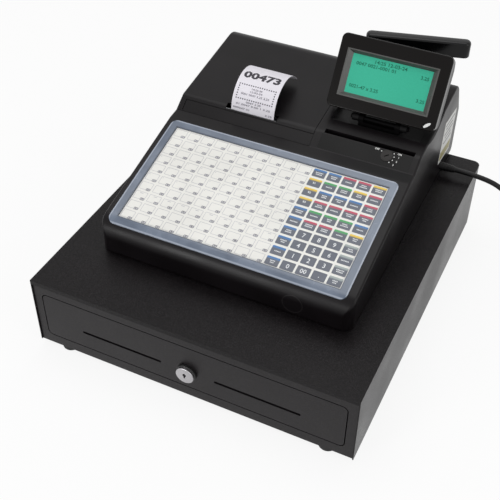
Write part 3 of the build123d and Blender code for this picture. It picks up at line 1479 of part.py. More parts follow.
def bar_limits():
    """Limits of the customer display's bar, in its own frame."""
    half_length = BAR_LENGTH / 2
    half_depth = BAR_DEPTH / 2
    return (-half_length, half_length), (-half_depth, half_depth), (BAR_TOP - BAR_HEIGHT, BAR_TOP)


def make_customer_housing():
    """Long bar, open to the back, on a neck that turns in the post."""
    x, y, z = bar_limits()
    bar = block(x, y, z)
    bar = fillet(bar.edges().filter_by(Axis.Z), BAR_CORNER)
    bar = fillet(bar.faces().sort_by(Axis.Z)[-1].edges(), BAR_TOP_ROUND)
    inner_y = (y[0] + BAR_WALL, y[1] - PANE_THICK)
    bar -= block((x[0] + BAR_CORNER, x[1] - BAR_CORNER), inner_y, (z[0] + BAR_WALL, z[1] - BAR_TOP_ROUND))
    bar -= block((x[0] + BAR_MARGIN, x[1] - BAR_MARGIN), (y[0] + 2 * BAR_WALL, y[1] + 1), pane_height(0))
    collar = rod_z(POST_RADIUS, 0, 0, (z[0] - COLLAR_HEIGHT, z[0]))
    neck = rod_z(POST_RADIUS - POST_WALL, 0, 0, (z[0] - NECK_LENGTH, z[0] - COLLAR_HEIGHT + 1))
    return yawed(bar + collar + neck)


def pane_height(gap):
    """Lower and upper edge of the customer display's window."""
    _, _, z = bar_limits()
    return z[0] + BAR_TOP_ROUND + 0.5 + gap, z[1] - BAR_TOP_ROUND - 1 - gap


def make_customer_window():
    """Clear pane in the back of the bar, a little below its face."""
    x, y, _ = bar_limits()
    width = (x[0] + BAR_MARGIN + RUNNING, x[1] - BAR_MARGIN - RUNNING)
    return yawed(block(width, (y[1] - PANE_THICK, y[1] - FIT), pane_height(RUNNING)))


def make_customer_tube():
    """Vacuum tube with the figures, held in the bar behind its window."""
    x, y, z = bar_limits()
    width = (x[0] + TUBE_MARGIN, x[1] - TUBE_MARGIN)
    tube = block(width, (y[0] + BAR_WALL, y[1] - 2 * PANE_THICK), (z[0] + BAR_WALL, z[1] - TUBE_DROP))
    return yawed(tube)


def make_customer_post():
    """Fixed tube on the body's top, with a foot ring, in which the bar's neck turns."""
    _, _, z = bar_limits()
    surface = DRAWER_TOP + hood_rise(POST_Y)
    top = DRAWER_TOP + z[0] - COLLAR_HEIGHT - SEAT
    sunk = surface - 4 * WALL
    tube = rod_z(POST_RADIUS, POST_X, POST_Y, (sunk, top))
    ring = rod_z(POST_RADIUS + RING_WIDTH, POST_X, POST_Y, (sunk, surface + WALL)) - body_block(0)
    flange_z = (sunk - RING_WIDTH, surface - 2 * WALL)
    flange = rod_z(POST_RADIUS + WALL, POST_X, POST_Y, flange_z) & body_block(WALL)
    bore_z = (sunk - 2 * RING_WIDTH, top + 1)
    bore = rod_z(POST_RADIUS - POST_WALL + RUNNING, POST_X, POST_Y, bore_z)
    return largest(tube + ring + flange) - bore


# ---------------------------------------------------------------- power cord

def cord_height():
    return DRAWER_TOP + CORD_RISE


def relief_tip():
    return BODY_WIDTH / 2 + RELIEF_REACH


def make_strain_relief():
    """Tapered rubber boot with rings, its flange inside the wall."""
    wall = BODY_WIDTH / 2
    z = cord_height()
    boot = rod_x(CORD_RADIUS + 2, (wall - WALL - 3, wall), CORD_Y, z)
    boot += rod_x(CORD_RADIUS + 3.5, (wall - WALL - 3, wall - WALL), CORD_Y, z)
    cone = Cone(CORD_RADIUS + 2, CORD_RADIUS + 0.8, RELIEF_REACH)
    boot += Pos(wall + RELIEF_REACH / 2, CORD_Y, z) * Rot(0, 90, 0) * cone
    for n in range(4):
        ring_x = wall + 3 + n * 4
        boot += rod_x(CORD_RADIUS + 2.4 - n * 0.25, (ring_x, ring_x + 1.8), CORD_Y, z)
    return boot


def cord_route():
    """Points of the cord from the boot, out over the drawer's edge and down to the coil."""
    return [
        (176.5, 402.0, 114.5),
        (208.0, 402.0, 114.5),
        (240.0, 403.0, 106.0),
        (262.0, 404.5, 81.0),
        (275.5, 406.0, 50.0),
        (286.0, 407.5, 19.0),
        (308.0, 409.0, 3.3),
        (331.0, 409.0, 3.3),
    ]


def arc_radii(points):
    """Bend radius at each inner point, as large as its two runs allow."""
    radii = []
    for before, here, after in zip(points, points[1:], points[2:]):
        into = Vector(*here) - Vector(*before)
        out = Vector(*after) - Vector(*here)
        turn = radians(into.get_angle(out))
        radii.append(0.45 * min(into.length, out.length) / tan(turn / 2))
    return radii


def make_power_cord():
    points = cord_route()
    radii = arc_radii(points)
    print("cord radii", [round(radius, 1) for radius in radii])
    path = FilletPolyline(*points, radius=radii)
    start = Plane(origin=path @ 0, z_dir=path % 0)
    cord = sweep(start * Circle(CORD_RADIUS), path=path)
    ideal = path.length * pi * CORD_RADIUS**2
    print("cord tube", round(path.length, 1), "volume ratio", round(cord.volume / ideal, 4))
    return cord


def coil_reach():
    """Distance from the coil's centre to the outermost turn's middle line."""
    return COIL_RADIUS + (COIL_WIDE - 1) * CORD_RADIUS


def coil_centre():
    """Centre of the coil, whose outer turn the cord joins along X."""
    x, y, _ = cord_route()[-1]
    return x + COIL_LEAD, y + coil_reach()


def coil_top():
    """Height of the middle line of the coil's top layer."""
    return FLOOR_GAP + (2 * COIL_HIGH - 1) * CORD_RADIUS


def make_cord_coil():
    """Outer shape of the wound cord, with a stub to the tube and one to the plug."""
    x, y = coil_centre()
    z = (0, 2 * FLOOR_GAP + 2 * COIL_HIGH * CORD_RADIUS)
    width = COIL_WIDE * CORD_RADIUS + FLOOR_GAP
    ring = rod_z(COIL_RADIUS + width, x, y, z) - rod_z(COIL_RADIUS - width, x, y, (-1, z[1] + 1))
    end_x, end_y, end_z = cord_route()[-1]
    ring += rod_x(CORD_RADIUS, (end_x, x), end_y, end_z)
    return ring + rod_x(CORD_RADIUS, (plug_start(), x), y + coil_reach(), coil_top())


def plug_start():
    """Where the plug's boot takes the end of the cord."""
    return coil_centre()[0] - COIL_LEAD + 6


def make_power_plug():
    """Moulded plug with a tapered boot, two flat blades and a round earth pin."""
    x = plug_start()
    y = coil_centre()[1] + coil_reach()
    z = coil_top()
    half = z - FLOOR_GAP
    body_x = (x - PLUG_BOOT - PLUG_LENGTH, x - PLUG_BOOT)
    body = block(body_x, (y - PLUG_WIDTH / 2, y + PLUG_WIDTH / 2), (z - half, z + half))
    body = fillet(body.edges().filter_by(Axis.X), 6)
    body = fillet(body.faces().sort_by(Axis.X)[-1].edges(), 4)
    boot = Cone(half - 3, CORD_RADIUS + 1.2, PLUG_BOOT)
    body += Pos(x - PLUG_BOOT / 2, y, z) * Rot(0, 90, 0) * boot
    pin_x = (body_x[0] - PIN_LENGTH, body_x[0] + 1)
    for side in (-1, 1):
        blade_y = y + side * 6.35
        body += block(pin_x, (blade_y - 0.75, blade_y + 0.75), (z - 6.2, z + 0.2))
    return body + rod_x(2.4, pin_x, y, z + 5.6)


def save_drawer():
    """Write the pieces of the cash drawer."""
    save(make_cabinet(), "cabinet_shell")
    save(make_cabinet_base(), "cabinet_base")
    save(make_front_frame(), "cabinet_front_frame")
    save(make_feet(), "cabinet_feet")
    save(make_cabinet_slides(), "cabinet_slides")
    save(make_drawer_slides(), "drawer_slides")
    save(make_slide_cages(), "slide_cages")
    save(make_drawer_front(), "drawer_front")
    save(make_drawer_tray(), "drawer_tray")
    save(make_lock_collar() + make_lock_nut(), "lock_collar")
    save(make_lock_barrel() + make_lock_cam(), "lock_barrel")
    save(make_note_tray(), "note_tray")
    save(make_coin_tray(), "coin_tray")
    for number, column in enumerate(till_columns(), start=1):
        save(make_clip(column), f"note_clip_{number}")
    save(make_release_bracket() + make_release_solenoid(), "release_solenoid")
    save(make_release_plunger(), "release_plunger")
    save(make_ejector_spring(), "ejector_spring")


def save_body():
    """Write the pieces of the register's body, its keyboard and its mode lock."""
    save(make_upper_case(), "upper_case")
    save(make_lower_case(), "lower_case")
    save(make_nose_plug(), "nose_plug")
    save(make_key_overlay(), "key_overlay")
    save(make_key_sheet(), "key_sheet")
    save(make_key_board(), "key_board")
    save(make_mode_panel(), "mode_panel")
    save(make_mode_housing(), "mode_lock_housing")
    save(make_mode_rotor(), "mode_key_rotor")
    save(make_main_board(), "main_board")
    save(make_power_supply(), "power_supply")
    save(make_rear_ports(), "rear_ports")


def save_printer():
    """Write the pieces of the receipt printer and its cover."""
    save(make_printer_cover(), "printer_cover")
    save(make_cover_rod(), "cover_rod")
    save(make_tear_bar(), "tear_bar")
    save(make_receipt(), "receipt_paper")
    save(make_printer_frame(), "printer_frame")
    save(make_thermal_head(), "thermal_head")
    save(make_platen(), "platen_roller")
    save(make_platen_shaft(), "platen_gear_shaft")
    save(make_motor_pinion(), "motor_pinion")
    save(make_paper_motor(), "paper_motor")
    save(make_paper_bin(), "paper_bin")
    save(make_paper_roll(), "paper_roll")
    save(make_paper_web(), "paper_web")


def save_displays():
    """Write the pieces of the operator's and the customer's displays."""
    save(make_display_bezel(), "display_bezel")
    save(make_display_surround(), "display_surround")
    save(make_lcd_module(), "lcd_module")
    save(make_display_shell(), "display_shell")
    save(make_display_stand(), "display_stand")
    save(make_display_pin(), "display_hinge_pin")
    save(make_customer_post(), "customer_post")
    save(make_customer_housing(), "customer_housing")
    save(make_customer_window(), "customer_window")
    save(make_customer_tube(), "customer_tube")


def save_cord():
    """Write the pieces of the power cord."""
    save(make_strain_relief(), "strain_relief")
    save(make_power_cord(), "power_cord")
    save(make_cord_coil(), "cord_coil")
    save(make_power_plug(), "power_plug")


if __name__ == "__main__":
    os.makedirs("parts", exist_ok=True)
    save_drawer()
    save_body()
    save_printer()
    save_displays()
    save_cord()
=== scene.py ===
from math import cos, pi, radians, sin

import bpy
from mathutils import Matrix, Vector


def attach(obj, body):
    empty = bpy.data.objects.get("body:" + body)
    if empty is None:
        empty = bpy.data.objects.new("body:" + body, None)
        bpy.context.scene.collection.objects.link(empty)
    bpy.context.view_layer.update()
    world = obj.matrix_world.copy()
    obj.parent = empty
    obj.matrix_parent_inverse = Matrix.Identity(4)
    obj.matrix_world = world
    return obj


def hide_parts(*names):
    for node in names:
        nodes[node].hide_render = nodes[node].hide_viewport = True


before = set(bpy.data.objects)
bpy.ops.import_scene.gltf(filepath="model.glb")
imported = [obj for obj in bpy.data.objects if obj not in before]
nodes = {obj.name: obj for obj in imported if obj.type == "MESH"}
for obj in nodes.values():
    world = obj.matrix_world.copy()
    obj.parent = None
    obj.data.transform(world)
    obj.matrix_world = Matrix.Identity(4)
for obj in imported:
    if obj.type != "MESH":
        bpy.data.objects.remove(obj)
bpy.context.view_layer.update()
print("frame loaded with", len(nodes), "nodes")


# camera

cameraPlace = {
    "location": (0.34756, -0.80453, 0.82431),
    "turn": (48.163, -0.419, 25.783),  # degrees about X, Y and Z
    "lens": 66.1,
    "sensor": 36,
    "shiftX": 0.0009,
    "shiftY": 0.003,
}


def addCamera(values):
    turn = [radians(angle) for angle in values["turn"]]
    bpy.ops.object.camera_add(location=values["location"], rotation=turn)
    camera = bpy.context.object
    camera.data.lens = values["lens"]
    camera.data.sensor_width = values["sensor"]
    camera.data.shift_x = values["shiftX"]
    camera.data.shift_y = values["shiftY"]
    bpy.context.scene.camera = camera


addCamera(cameraPlace)


# small helpers for modelling

inkThick = 0.00006  # usual height of a printed mark
creaseAngle = radians(35)  # edges flatter than this are shaded smooth


def shift(x, y, z=0.0):
    return Matrix.Translation((x, y, z))


def turnBy(angle, axis):
    return Matrix.Rotation(radians(angle), 4, axis)


def clearSelection():
    if bpy.context.mode != "OBJECT":
        bpy.ops.object.mode_set(mode="OBJECT")
    bpy.ops.object.select_all(action="DESELECT")


def choose(*pieces):
    # selects these pieces alone and makes the first one active
    clearSelection()
    for piece in pieces:
        piece.select_set(True)
    bpy.context.view_layer.objects.active = pieces[0]


def settle(piece):
    # puts the piece's place into its mesh, so that its object sits at the origin
    piece.data.transform(piece.matrix_basis)
    piece.matrix_basis = Matrix.Identity(4)
    piece.data.update()
    return piece


def addBox(name, size, centre=(0, 0, 0)):
    clearSelection()
    bpy.ops.mesh.primitive_cube_add(size=1, location=centre)
    piece = bpy.context.object
    piece.name = name
    piece.scale = size
    return settle(piece)


def addRod(name, radius, tall, centre=(0, 0, 0), points=48):
    clearSelection()
    bpy.ops.mesh.primitive_cylinder_add(vertices=points, radius=radius, depth=tall, location=centre)
    rod = bpy.context.object
    rod.name = name
    return settle(rod)


def addPlate(name, wide, tall, corner=0.0, rim=0.0, thick=inkThick):
    # flat plate on XY, or a rim of it when rim is given, standing on Z 0
    clearSelection()
    bpy.ops.mesh.primitive_plane_add(size=1)
    piece = bpy.context.object
    piece.name = name
    piece.scale = (wide, tall, 1)
    settle(piece)
    bpy.ops.object.mode_set(mode="EDIT")
    bpy.ops.mesh.select_all(action="SELECT")
    if corner:
        bpy.ops.mesh.bevel(offset=corner, segments=3, affect="VERTICES")
        bpy.ops.mesh.select_all(action="SELECT")
    if rim:
        bpy.ops.mesh.inset(thickness=rim)
        bpy.ops.mesh.delete(type="FACE")
    bpy.ops.object.mode_set(mode="OBJECT")
    thicken(piece, thick)
    return piece


def addWords(words, size, spot, stretch=1.0, bold=0.0, thick=inkThick, wide=0.0):
    # lettering on XY, made a mesh before its place is applied, and stretched to a width if one is given
    clearSelection()
    bpy.ops.object.text_add()
    letters = bpy.context.object
    letters.data.body = words
    letters.data.size = size
    letters.data.align_x = "CENTER"
    letters.data.align_y = "CENTER"
    letters.data.resolution_u = 2
    letters.data.extrude = thick / 2
    letters.data.offset = bold
    bpy.ops.object.convert(target="MESH")
    if wide:
        stretch = wide / letters.dimensions.x
    letters.data.transform(spot @ Matrix.Diagonal((stretch, 1, 1, 1)))
    return letters


def applyModifiers(piece):
    choose(piece)
    for modifier in list(piece.modifiers):
        bpy.ops.object.modifier_apply(modifier=modifier.name)


def thicken(piece, thick, side=1):
    sheet = piece.modifiers.new("thickness", "SOLIDIFY")
    sheet.thickness = thick
    sheet.offset = side
    applyModifiers(piece)


def smoothShade(piece):
    choose(piece)
    bpy.ops.object.shade_smooth_by_angle(angle=creaseAngle)


def softenEdges(piece, width, segments=2):
    bevel = piece.modifiers.new("edge", "BEVEL")
    bevel.width = width
    bevel.segments = segments
    bevel.limit_method = "ANGLE"
    applyModifiers(piece)
    smoothShade(piece)


def combine(piece, other, operation):
    cut = piece.modifiers.new("shape", "BOOLEAN")
    cut.operation = operation
    cut.object = other
    applyModifiers(piece)
    remove(other)


def copyTo(piece, spot):
    twin = piece.copy()
    twin.data = piece.data.copy()
    twin.data.transform(spot)
    bpy.context.scene.collection.objects.link(twin)
    return twin


def joinAs(name, pieces, finish, spot=None):
    choose(*pieces)
    if len(pieces) > 1:
        bpy.ops.object.join()
    joined = bpy.context.view_layer.objects.active
    joined.name = name
    joined.data.name = name
    if spot is not None:
        joined.data.transform(spot)
    wear(joined, finish)
    return joined


def wear(piece, finish):
    piece.data.materials.clear()
    piece.data.materials.append(finish)


def remove(piece):
    bpy.data.objects.remove(piece, do_unlink=True)


# shader maths

class Field:
    # a socket of one material's tree; sums and products of it add their own nodes
    def __init__(self, tree, socket=None):
        self.tree = tree
        self.socket = socket

    def node(self, kind, settings, sockets, out=0):
        made = self.tree.nodes.new(kind)
        for key, value in settings.items():
            setattr(made, key, value)
        for key, value in sockets.items():
            if isinstance(value, Field):
                self.tree.links.new(value.socket, made.inputs[key])
            else:
                made.inputs[key].default_value = value
        return Field(self.tree, made.outputs[out])

    def maths(self, operation, other=None):
        sockets = {0: self} if other is None else {0: self, 1: other}
        return self.node("ShaderNodeMath", {"operation": operation}, sockets)

    def __add__(self, other):
        return self.maths("ADD", other)

    def __sub__(self, other):
        return self.maths("SUBTRACT", other)

    def __rsub__(self, other):
        return (self * -1) + other

    def __mul__(self, other):
        return self.maths("MULTIPLY", other)

    def __truediv__(self, other):
        return self.maths("DIVIDE", other)

    def axis(self, letter):
        return self.node("ShaderNodeSeparateXYZ", {}, {0: self}, out=letter)

    def between(self, low, high, start=0.0, end=1.0):
        # smooth step from start to end as the value goes from low to high
        sockets = {0: self, 1: low, 2: high, 3: start, 4: end}
        return self.node("ShaderNodeMapRange", {"interpolation_type": "SMOOTHSTEP"}, sockets)

    def mix(self, first, second):
        # colour mix with this value as its factor
        return self.node("ShaderNodeMix", {"data_type": "RGBA"}, {0: self, 6: first, 7: second}, out=2)


def tone(red, green, blue):
    # screen colour from 0 to 255 as a linear colour
    return tuple((part / 255) ** 2.2 for part in (red, green, blue)) + (1.0,)


def dimmed(colour, share):
    return tuple(part * share for part in colour[:3]) + (1.0,)


socketNames = {
    "shine": "Specular IOR Level",
    "glow": "Emission Strength",
    "glowColour": "Emission Color",
}


def newFinish(name, colour, rough, metal=0.0, **fixed):
    finish = bpy.data.materials.new(name)
    finish.use_nodes = True
    tree = finish.node_tree
    shader = tree.nodes["Principled BSDF"]
    shader.inputs["Base Color"].default_value = colour
    shader.inputs["Roughness"].default_value = rough
    shader.inputs["Metallic"].default_value = metal
    for key, value in fixed.items():
        shader.inputs[socketNames[key]].default_value = value
    return finish, Field(tree), shader


def feed(field, shader, socket):
    shader.id_data.links.new(field.socket, shader.inputs[socket])


def paint(shader, shade, gloss):
    feed(shade, shader, "Base Color")
    feed(gloss, shader, "Roughness")


def roughen(shader, height, distance):
    bump = height.node("ShaderNodeBump", {}, {"Height": height, "Distance": distance, "Strength": 1.0})
    feed(bump, shader, "Normal")


def place(field):
    return field.node("ShaderNodeTexCoord", {}, {}, out="Object")


def noise(field, scale, detail=2.0, where=None):
    sockets = {"Scale": scale, "Detail": detail, "Vector": where or place(field)}
    return field.node("ShaderNodeTexNoise", {}, sockets)


# finishes: spans are the parts of a noise's range over which a tone or a gloss changes

toneSpan = (0.35, 0.7)
glossSpan = (0.3, 0.7)
plasticLook = {
    "blotchScale": 14.0,
    "fineShare": 0.6,
    "toneSpan": (0.35, 0.68),
    "drift": (0.04, 0.05),
    # painted shade in hollows under the display: its near-black tone, the roughness it adds and its soft edge
    "paintedShadeTone": tone(8, 7, 8),
    "paintedShadeMatt": 0.3,
    "paintedShadeEdge": (0.0008, 0.0002),
}
steelLook = {
    "blotchScale": 9.0,
    "toneSpan": (0.38, 0.66),
    "drift": (0.05, 0.05),
    "speckFiner": 2.3,
    "speckSpan": (0.56, 0.7),
    # lighter tone of the specks: painted glints
    "speckGlintTone": tone(84, 80, 82),
    "speckShare": 0.45,
    "speckRise": 0.5,
}
metalLook = {
    "scratches": (900.0, 900.0, 20.0),
    "cloudScale": 25.0,
    "drift": (0.08, 0.1),
    "dullShare": 0.8,
}
smoothCloud = 18.0


def drift(cloud, rough, less, more):
    # roughness that wanders with a cloud
    return cloud.between(*glossSpan, rough - less, rough + more)


def nearRod(spots, values):
    # mask for the painted shade: 1 within a radius of a line along X, growing from one end of it
    y, z = values["line"]
    awayY = spots.axis("Y") - y
    awayZ = spots.axis("Z") - z
    reach = awayY * awayY + awayZ * awayZ
    outside, inside = plasticLook["paintedShadeEdge"]
    near = reach.between((values["radius"] + outside) ** 2, (values["radius"] + inside) ** 2)
    return near * spots.axis("X").between(*values["grows"])


def grainyPlastic(name, colour, light, rough, scale, depth, shine=0.5, paintedShadeAt=None):
    # moulded plastic with a fine spark-eroded grain and faint blotches in its gloss, with painted shade near a
    # given line: near-black and matt there, where shade falls under the display
    finish, field, shader = newFinish(name, colour, rough, shine=shine)
    spots = place(field)
    fine = noise(field, scale, 3.0, spots)
    blotch = noise(field, plasticLook["blotchScale"], 2.0, spots)
    share = plasticLook["fineShare"]
    shade = (fine * share + blotch * (1 - share)).between(*plasticLook["toneSpan"]).mix(colour, light)
    gloss = drift(blotch, rough, *plasticLook["drift"])
    if paintedShadeAt:
        # painted shade: the plastic near the line is darkened and made matt
        within = nearRod(spots, paintedShadeAt)
        shade = within.mix(shade, plasticLook["paintedShadeTone"])
        gloss = gloss + within * plasticLook["paintedShadeMatt"]
    paint(shader, shade, gloss)
    roughen(shader, fine, depth)
    return finish


def paintedSteel(name, colour, light, rough, scale, depth, shine):
    # powder coat: fine raised specks (real bumps), painted lighter in the colour as glints
    finish, field, shader = newFinish(name, colour, rough, shine=shine)
    spots = place(field)
    fine = noise(field, scale, 4.0, spots)
    speck = noise(field, scale * steelLook["speckFiner"], 1.0, spots).between(*steelLook["speckSpan"])
    blotch = noise(field, steelLook["blotchScale"], 2.0, spots)
    shade = fine.between(*steelLook["toneSpan"]).mix(colour, light)
    # painted glints: the specks are mixed lighter into the colour
    speckled = (speck * steelLook["speckShare"]).mix(shade, steelLook["speckGlintTone"])
    paint(shader, speckled, drift(blotch, rough, *steelLook["drift"]))
    roughen(shader, fine + speck * steelLook["speckRise"], depth)
    return finish


def plainMetal(name, colour, rough, scale=metalLook["scratches"]):
    # plated or brushed metal with short scratches along its length
    finish, field, shader = newFinish(name, colour, rough, metal=1.0)
    spots = place(field)
    scratched = field.node("ShaderNodeMapping", {}, {"Vector": spots, "Scale": scale})
    streaks = noise(field, 1.0, 2.0, scratched)
    cloud = noise(field, metalLook["cloudScale"], 2.0, spots)
    shade = cloud.between(*toneSpan).mix(colour, dimmed(colour, metalLook["dullShare"]))
    paint(shader, shade, drift(streaks, rough, *metalLook["drift"]))
    return finish


def smoothFinish(name, colour, rough, vary=0.03, spread=0.85, **fixed):
    # even, smooth surface with a slight drift of tone and gloss
    finish, field, shader = newFinish(name, colour, rough, **fixed)
    cloud = noise(field, smoothCloud)
    shade = cloud.between(*toneSpan).mix(colour, dimmed(colour, spread))
    paint(shader, shade, drift(cloud, rough, vary, vary))
    return finish


# painted shade: the trough floor under the display, darker towards the display's shadow, and the display
# shell's hinge knuckles
paintedShadeHollows = {
    "trough": {"line": (0.1053, 0.2598), "radius": 0.06, "grows": (0.034, 0.075)},
    "hinge": {"line": (0.0902, 0.2113), "radius": 0.0085, "grows": (0.0, 0.001)},
}
# dark and light tone, roughness, scale and depth of the grain, shine
bodyTones = (tone(18, 16, 17), tone(25, 22, 24), 0.34, 1100.0, 0.00003, 0.16)
innerTones = (tone(46, 46, 48), tone(54, 54, 56), 0.55, 900.0, 0.00003, 0.3)
drawerTones = (tone(12, 10, 11), tone(22, 19, 21), 0.31, 900.0, 0.00006, 0.125)
frontTones = (tone(24, 22, 23), tone(34, 31, 33), 0.36, 900.0, 0.00004, 0.22)
cordTones = (tone(20, 19, 20), tone(27, 26, 27), 0.42, 1500.0, 0.00002, 0.25)

bodyPlastic = grainyPlastic("bodyPlastic", *bodyTones)
# upper case with painted shade in the trough under the display
casePaintedShade = grainyPlastic("casePaintedShade", *bodyTones, paintedShadeHollows["trough"])
# display shell with painted shade on its hinge knuckles under the display
shellPaintedShade = grainyPlastic("shellPaintedShade", *bodyTones, paintedShadeHollows["hinge"])
innerPlastic = grainyPlastic("innerPlastic", *innerTones)
portPlastic = smoothFinish("portPlastic", tone(58, 58, 60), 0.4, shine=0.3)
drawerPaint = paintedSteel("drawerPaint", *drawerTones)
frontPaint = paintedSteel("frontPaint", *frontTones)
# painted shade: the hinge pin and its stand are near-black and matt so that they sink into the shade under the
# display
hingePaintedShade = smoothFinish("hingePaintedShade", tone(10, 9, 10), 0.6, shine=0.06)
glossPlastic = smoothFinish("glossPlastic", tone(18, 15, 14), 0.2, vary=0.02, shine=0.14)
barPlastic = smoothFinish("barPlastic", tone(15, 15, 16), 0.2, vary=0.02, shine=0.24)
panelFilm = smoothFinish("panelFilm", tone(15, 14, 14), 0.3, vary=0.02, shine=0.14)
lockPlastic = smoothFinish("lockPlastic", tone(45, 43, 42), 0.4, shine=0.2)
bevelPlastic = smoothFinish("bevelPlastic", tone(66, 66, 64), 0.3, shine=0.6)
zincPlate = plainMetal("zincPlate", tone(176, 178, 180), 0.36)
barrelSteel = plainMetal("barrelSteel", tone(184, 182, 185), 0.34, scale=(300.0, 300.0, 300.0))
footRubber = grainyPlastic("footRubber", tone(30, 30, 30), tone(40, 40, 40), 0.8, 800.0, 0.00005)
cordRubber = grainyPlastic("cordRubber", *cordTones)
rollerRubber = grainyPlastic("rollerRubber", tone(34, 34, 36), tone(42, 42, 44), 0.7, 900.0, 0.00003)
gearPlastic = smoothFinish("gearPlastic", tone(226, 222, 208), 0.45)
boardGreen = smoothFinish("boardGreen", tone(28, 92, 52), 0.4)
coreSteel = smoothFinish("coreSteel", tone(70, 68, 66), 0.5)
labelPaper = smoothFinish("labelPaper", tone(208, 208, 205), 0.5, spread=0.95)
labelInk = smoothFinish("labelInk", tone(104, 106, 110), 0.6)
markInk = smoothFinish("markInk", tone(222, 222, 220), 0.5, spread=0.96)
print("finishes ready")


# power cord: its route, then its coil, on one spline

cordValues = {
    "radius": 0.00325,
    "length": 1.57,
    "route": [
        (0.1765, 0.1715, 0.1145),
        (0.208, 0.1715, 0.1145),
        (0.240, 0.1725, 0.106),
        (0.262, 0.174, 0.081),
        (0.2755, 0.1755, 0.050),
        (0.286, 0.177, 0.019),
        (0.308, 0.1785, 0.0033),
        (0.331, 0.1785, 0.0033),
        (0.369, 0.1785, 0.0033),
    ],
    "coilCentre": (0.369, 0.2222),
    "turnRadii": (0.0437, 0.0372, 0.0307),  # outer, middle and inner turns
    "layerHeights": (0.0033, 0.0098),
    "holds": (0.7, 0.4),  # share of a turn before it moves on, in the lower and upper layer
    "move": 0.3,
    "pointsPerTurn": 14,
    "end": (0.335, 0.2659, 0.0098),
}


def coilPoints(values):
    # turns in to the smallest, steps up a layer and turns out again, ending half a turn short
    centreX, centreY = values["coilCentre"]
    outer, middle, inner = values["turnRadii"]
    low, high = values["layerHeights"]
    late, early = values["holds"]
    count = values["pointsPerTurn"]
    # each turn's radius, height and the share of it after which it moves to the next
    turns = [(outer, low, late), (middle, low, late), (inner, low, late),
             (inner, high, early), (middle, high, early), (outer, high, 1)]
    spare = 1 / cos(pi / count)  # the line cuts inside its points
    points = []
    for step in range(1, int(count * (len(turns) - 0.5)) + 1):
        turn = step // count
        radius, height, hold = turns[turn]
        share = min(1.0, max(0.0, (step / count - turn - hold) / values["move"]))
        if share > 0:
            radius += (turns[turn + 1][0] - radius) * share
            height += (turns[turn + 1][1] - height) * share
        reach = radius * spare
        angle = -pi / 2 + 2 * pi * step / count
        points.append((centreX + reach * cos(angle), centreY + reach * sin(angle), height))
    return points


def addCord(values):
    points = values["route"] + coilPoints(values) + [values["end"]]
    clearSelection()
    bpy.ops.curve.primitive_nurbs_path_add()
    cord = bpy.context.object
    cord.name = "mainsLead"
    cord.data.splines.clear()
    spline = cord.data.splines.new("NURBS")
    spline.points.add(len(points) - 1)
    for point, spot in zip(spline.points, points):
        point.co = (*spot, 1)
    spline.order_u = 3
    spline.use_endpoint_u = True
    spline.resolution_u = 6
    cord.data.bevel_depth = values["radius"]
    cord.data.bevel_resolution = 4
    cord.data.use_fill_caps = True
    cord.data.materials.append(cordRubber)
    return cord


mainsLead = addCord(cordValues)
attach(mainsLead, "register")
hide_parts("power_cord", "cord_coil")

tieValues = {
    "width": 0.006,
    "thick": 0.0007,
    "sideSlack": 0.0016,
    "topSlack": 0.0008,
    "edge": 0.0003,
    "angle": -45,  # where on the coil it sits
}


def addTie(values, coil):
    # narrow strap round all the turns on the coil's far side: a box without its two open ends
    centreX, centreY = coil["coilCentre"]
    outer, _, inner = coil["turnRadii"]
    wide = outer - inner + 2 * coil["radius"] + values["sideSlack"]
    tall = coil["layerHeights"][1] + coil["radius"] + values["topSlack"]
    tie = addBox("coilTie", (wide, values["width"], tall), ((outer + inner) / 2, 0, tall / 2))
    choose(tie)
    bpy.ops.object.mode_set(mode="EDIT")
    bpy.ops.mesh.select_mode(type="FACE")
    bpy.ops.mesh.select_all(action="DESELECT")
    bpy.ops.object.mode_set(mode="OBJECT")
    for face in tie.data.polygons:
        face.select = abs(face.normal.y) > 0.5
    bpy.ops.object.mode_set(mode="EDIT")
    bpy.ops.mesh.delete(type="FACE")
    bpy.ops.mesh.select_mode(type="VERT")
    bpy.ops.object.mode_set(mode="OBJECT")
    thicken(tie, values["thick"], side=-1)
    softenEdges(tie, values["edge"])
    tie.data.transform(shift(centreX, centreY) @ turnBy(values["angle"], "Z"))
    wear(tie, cordRubber)
    return tie


coilTie = addTie(tieValues, cordValues)
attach(coilTie, "register")
print("cord laid")


# keyboard: printed cells on the sheet, in the deck's own plane

deckShift = -0.0016
deckAngle = 13.9
deckSpot = shift(deckShift, -0.1345, 0.148707) @ turnBy(deckAngle, "X")
deckAlong = (0, cos(radians(deckAngle)), sin(radians(deckAngle)))

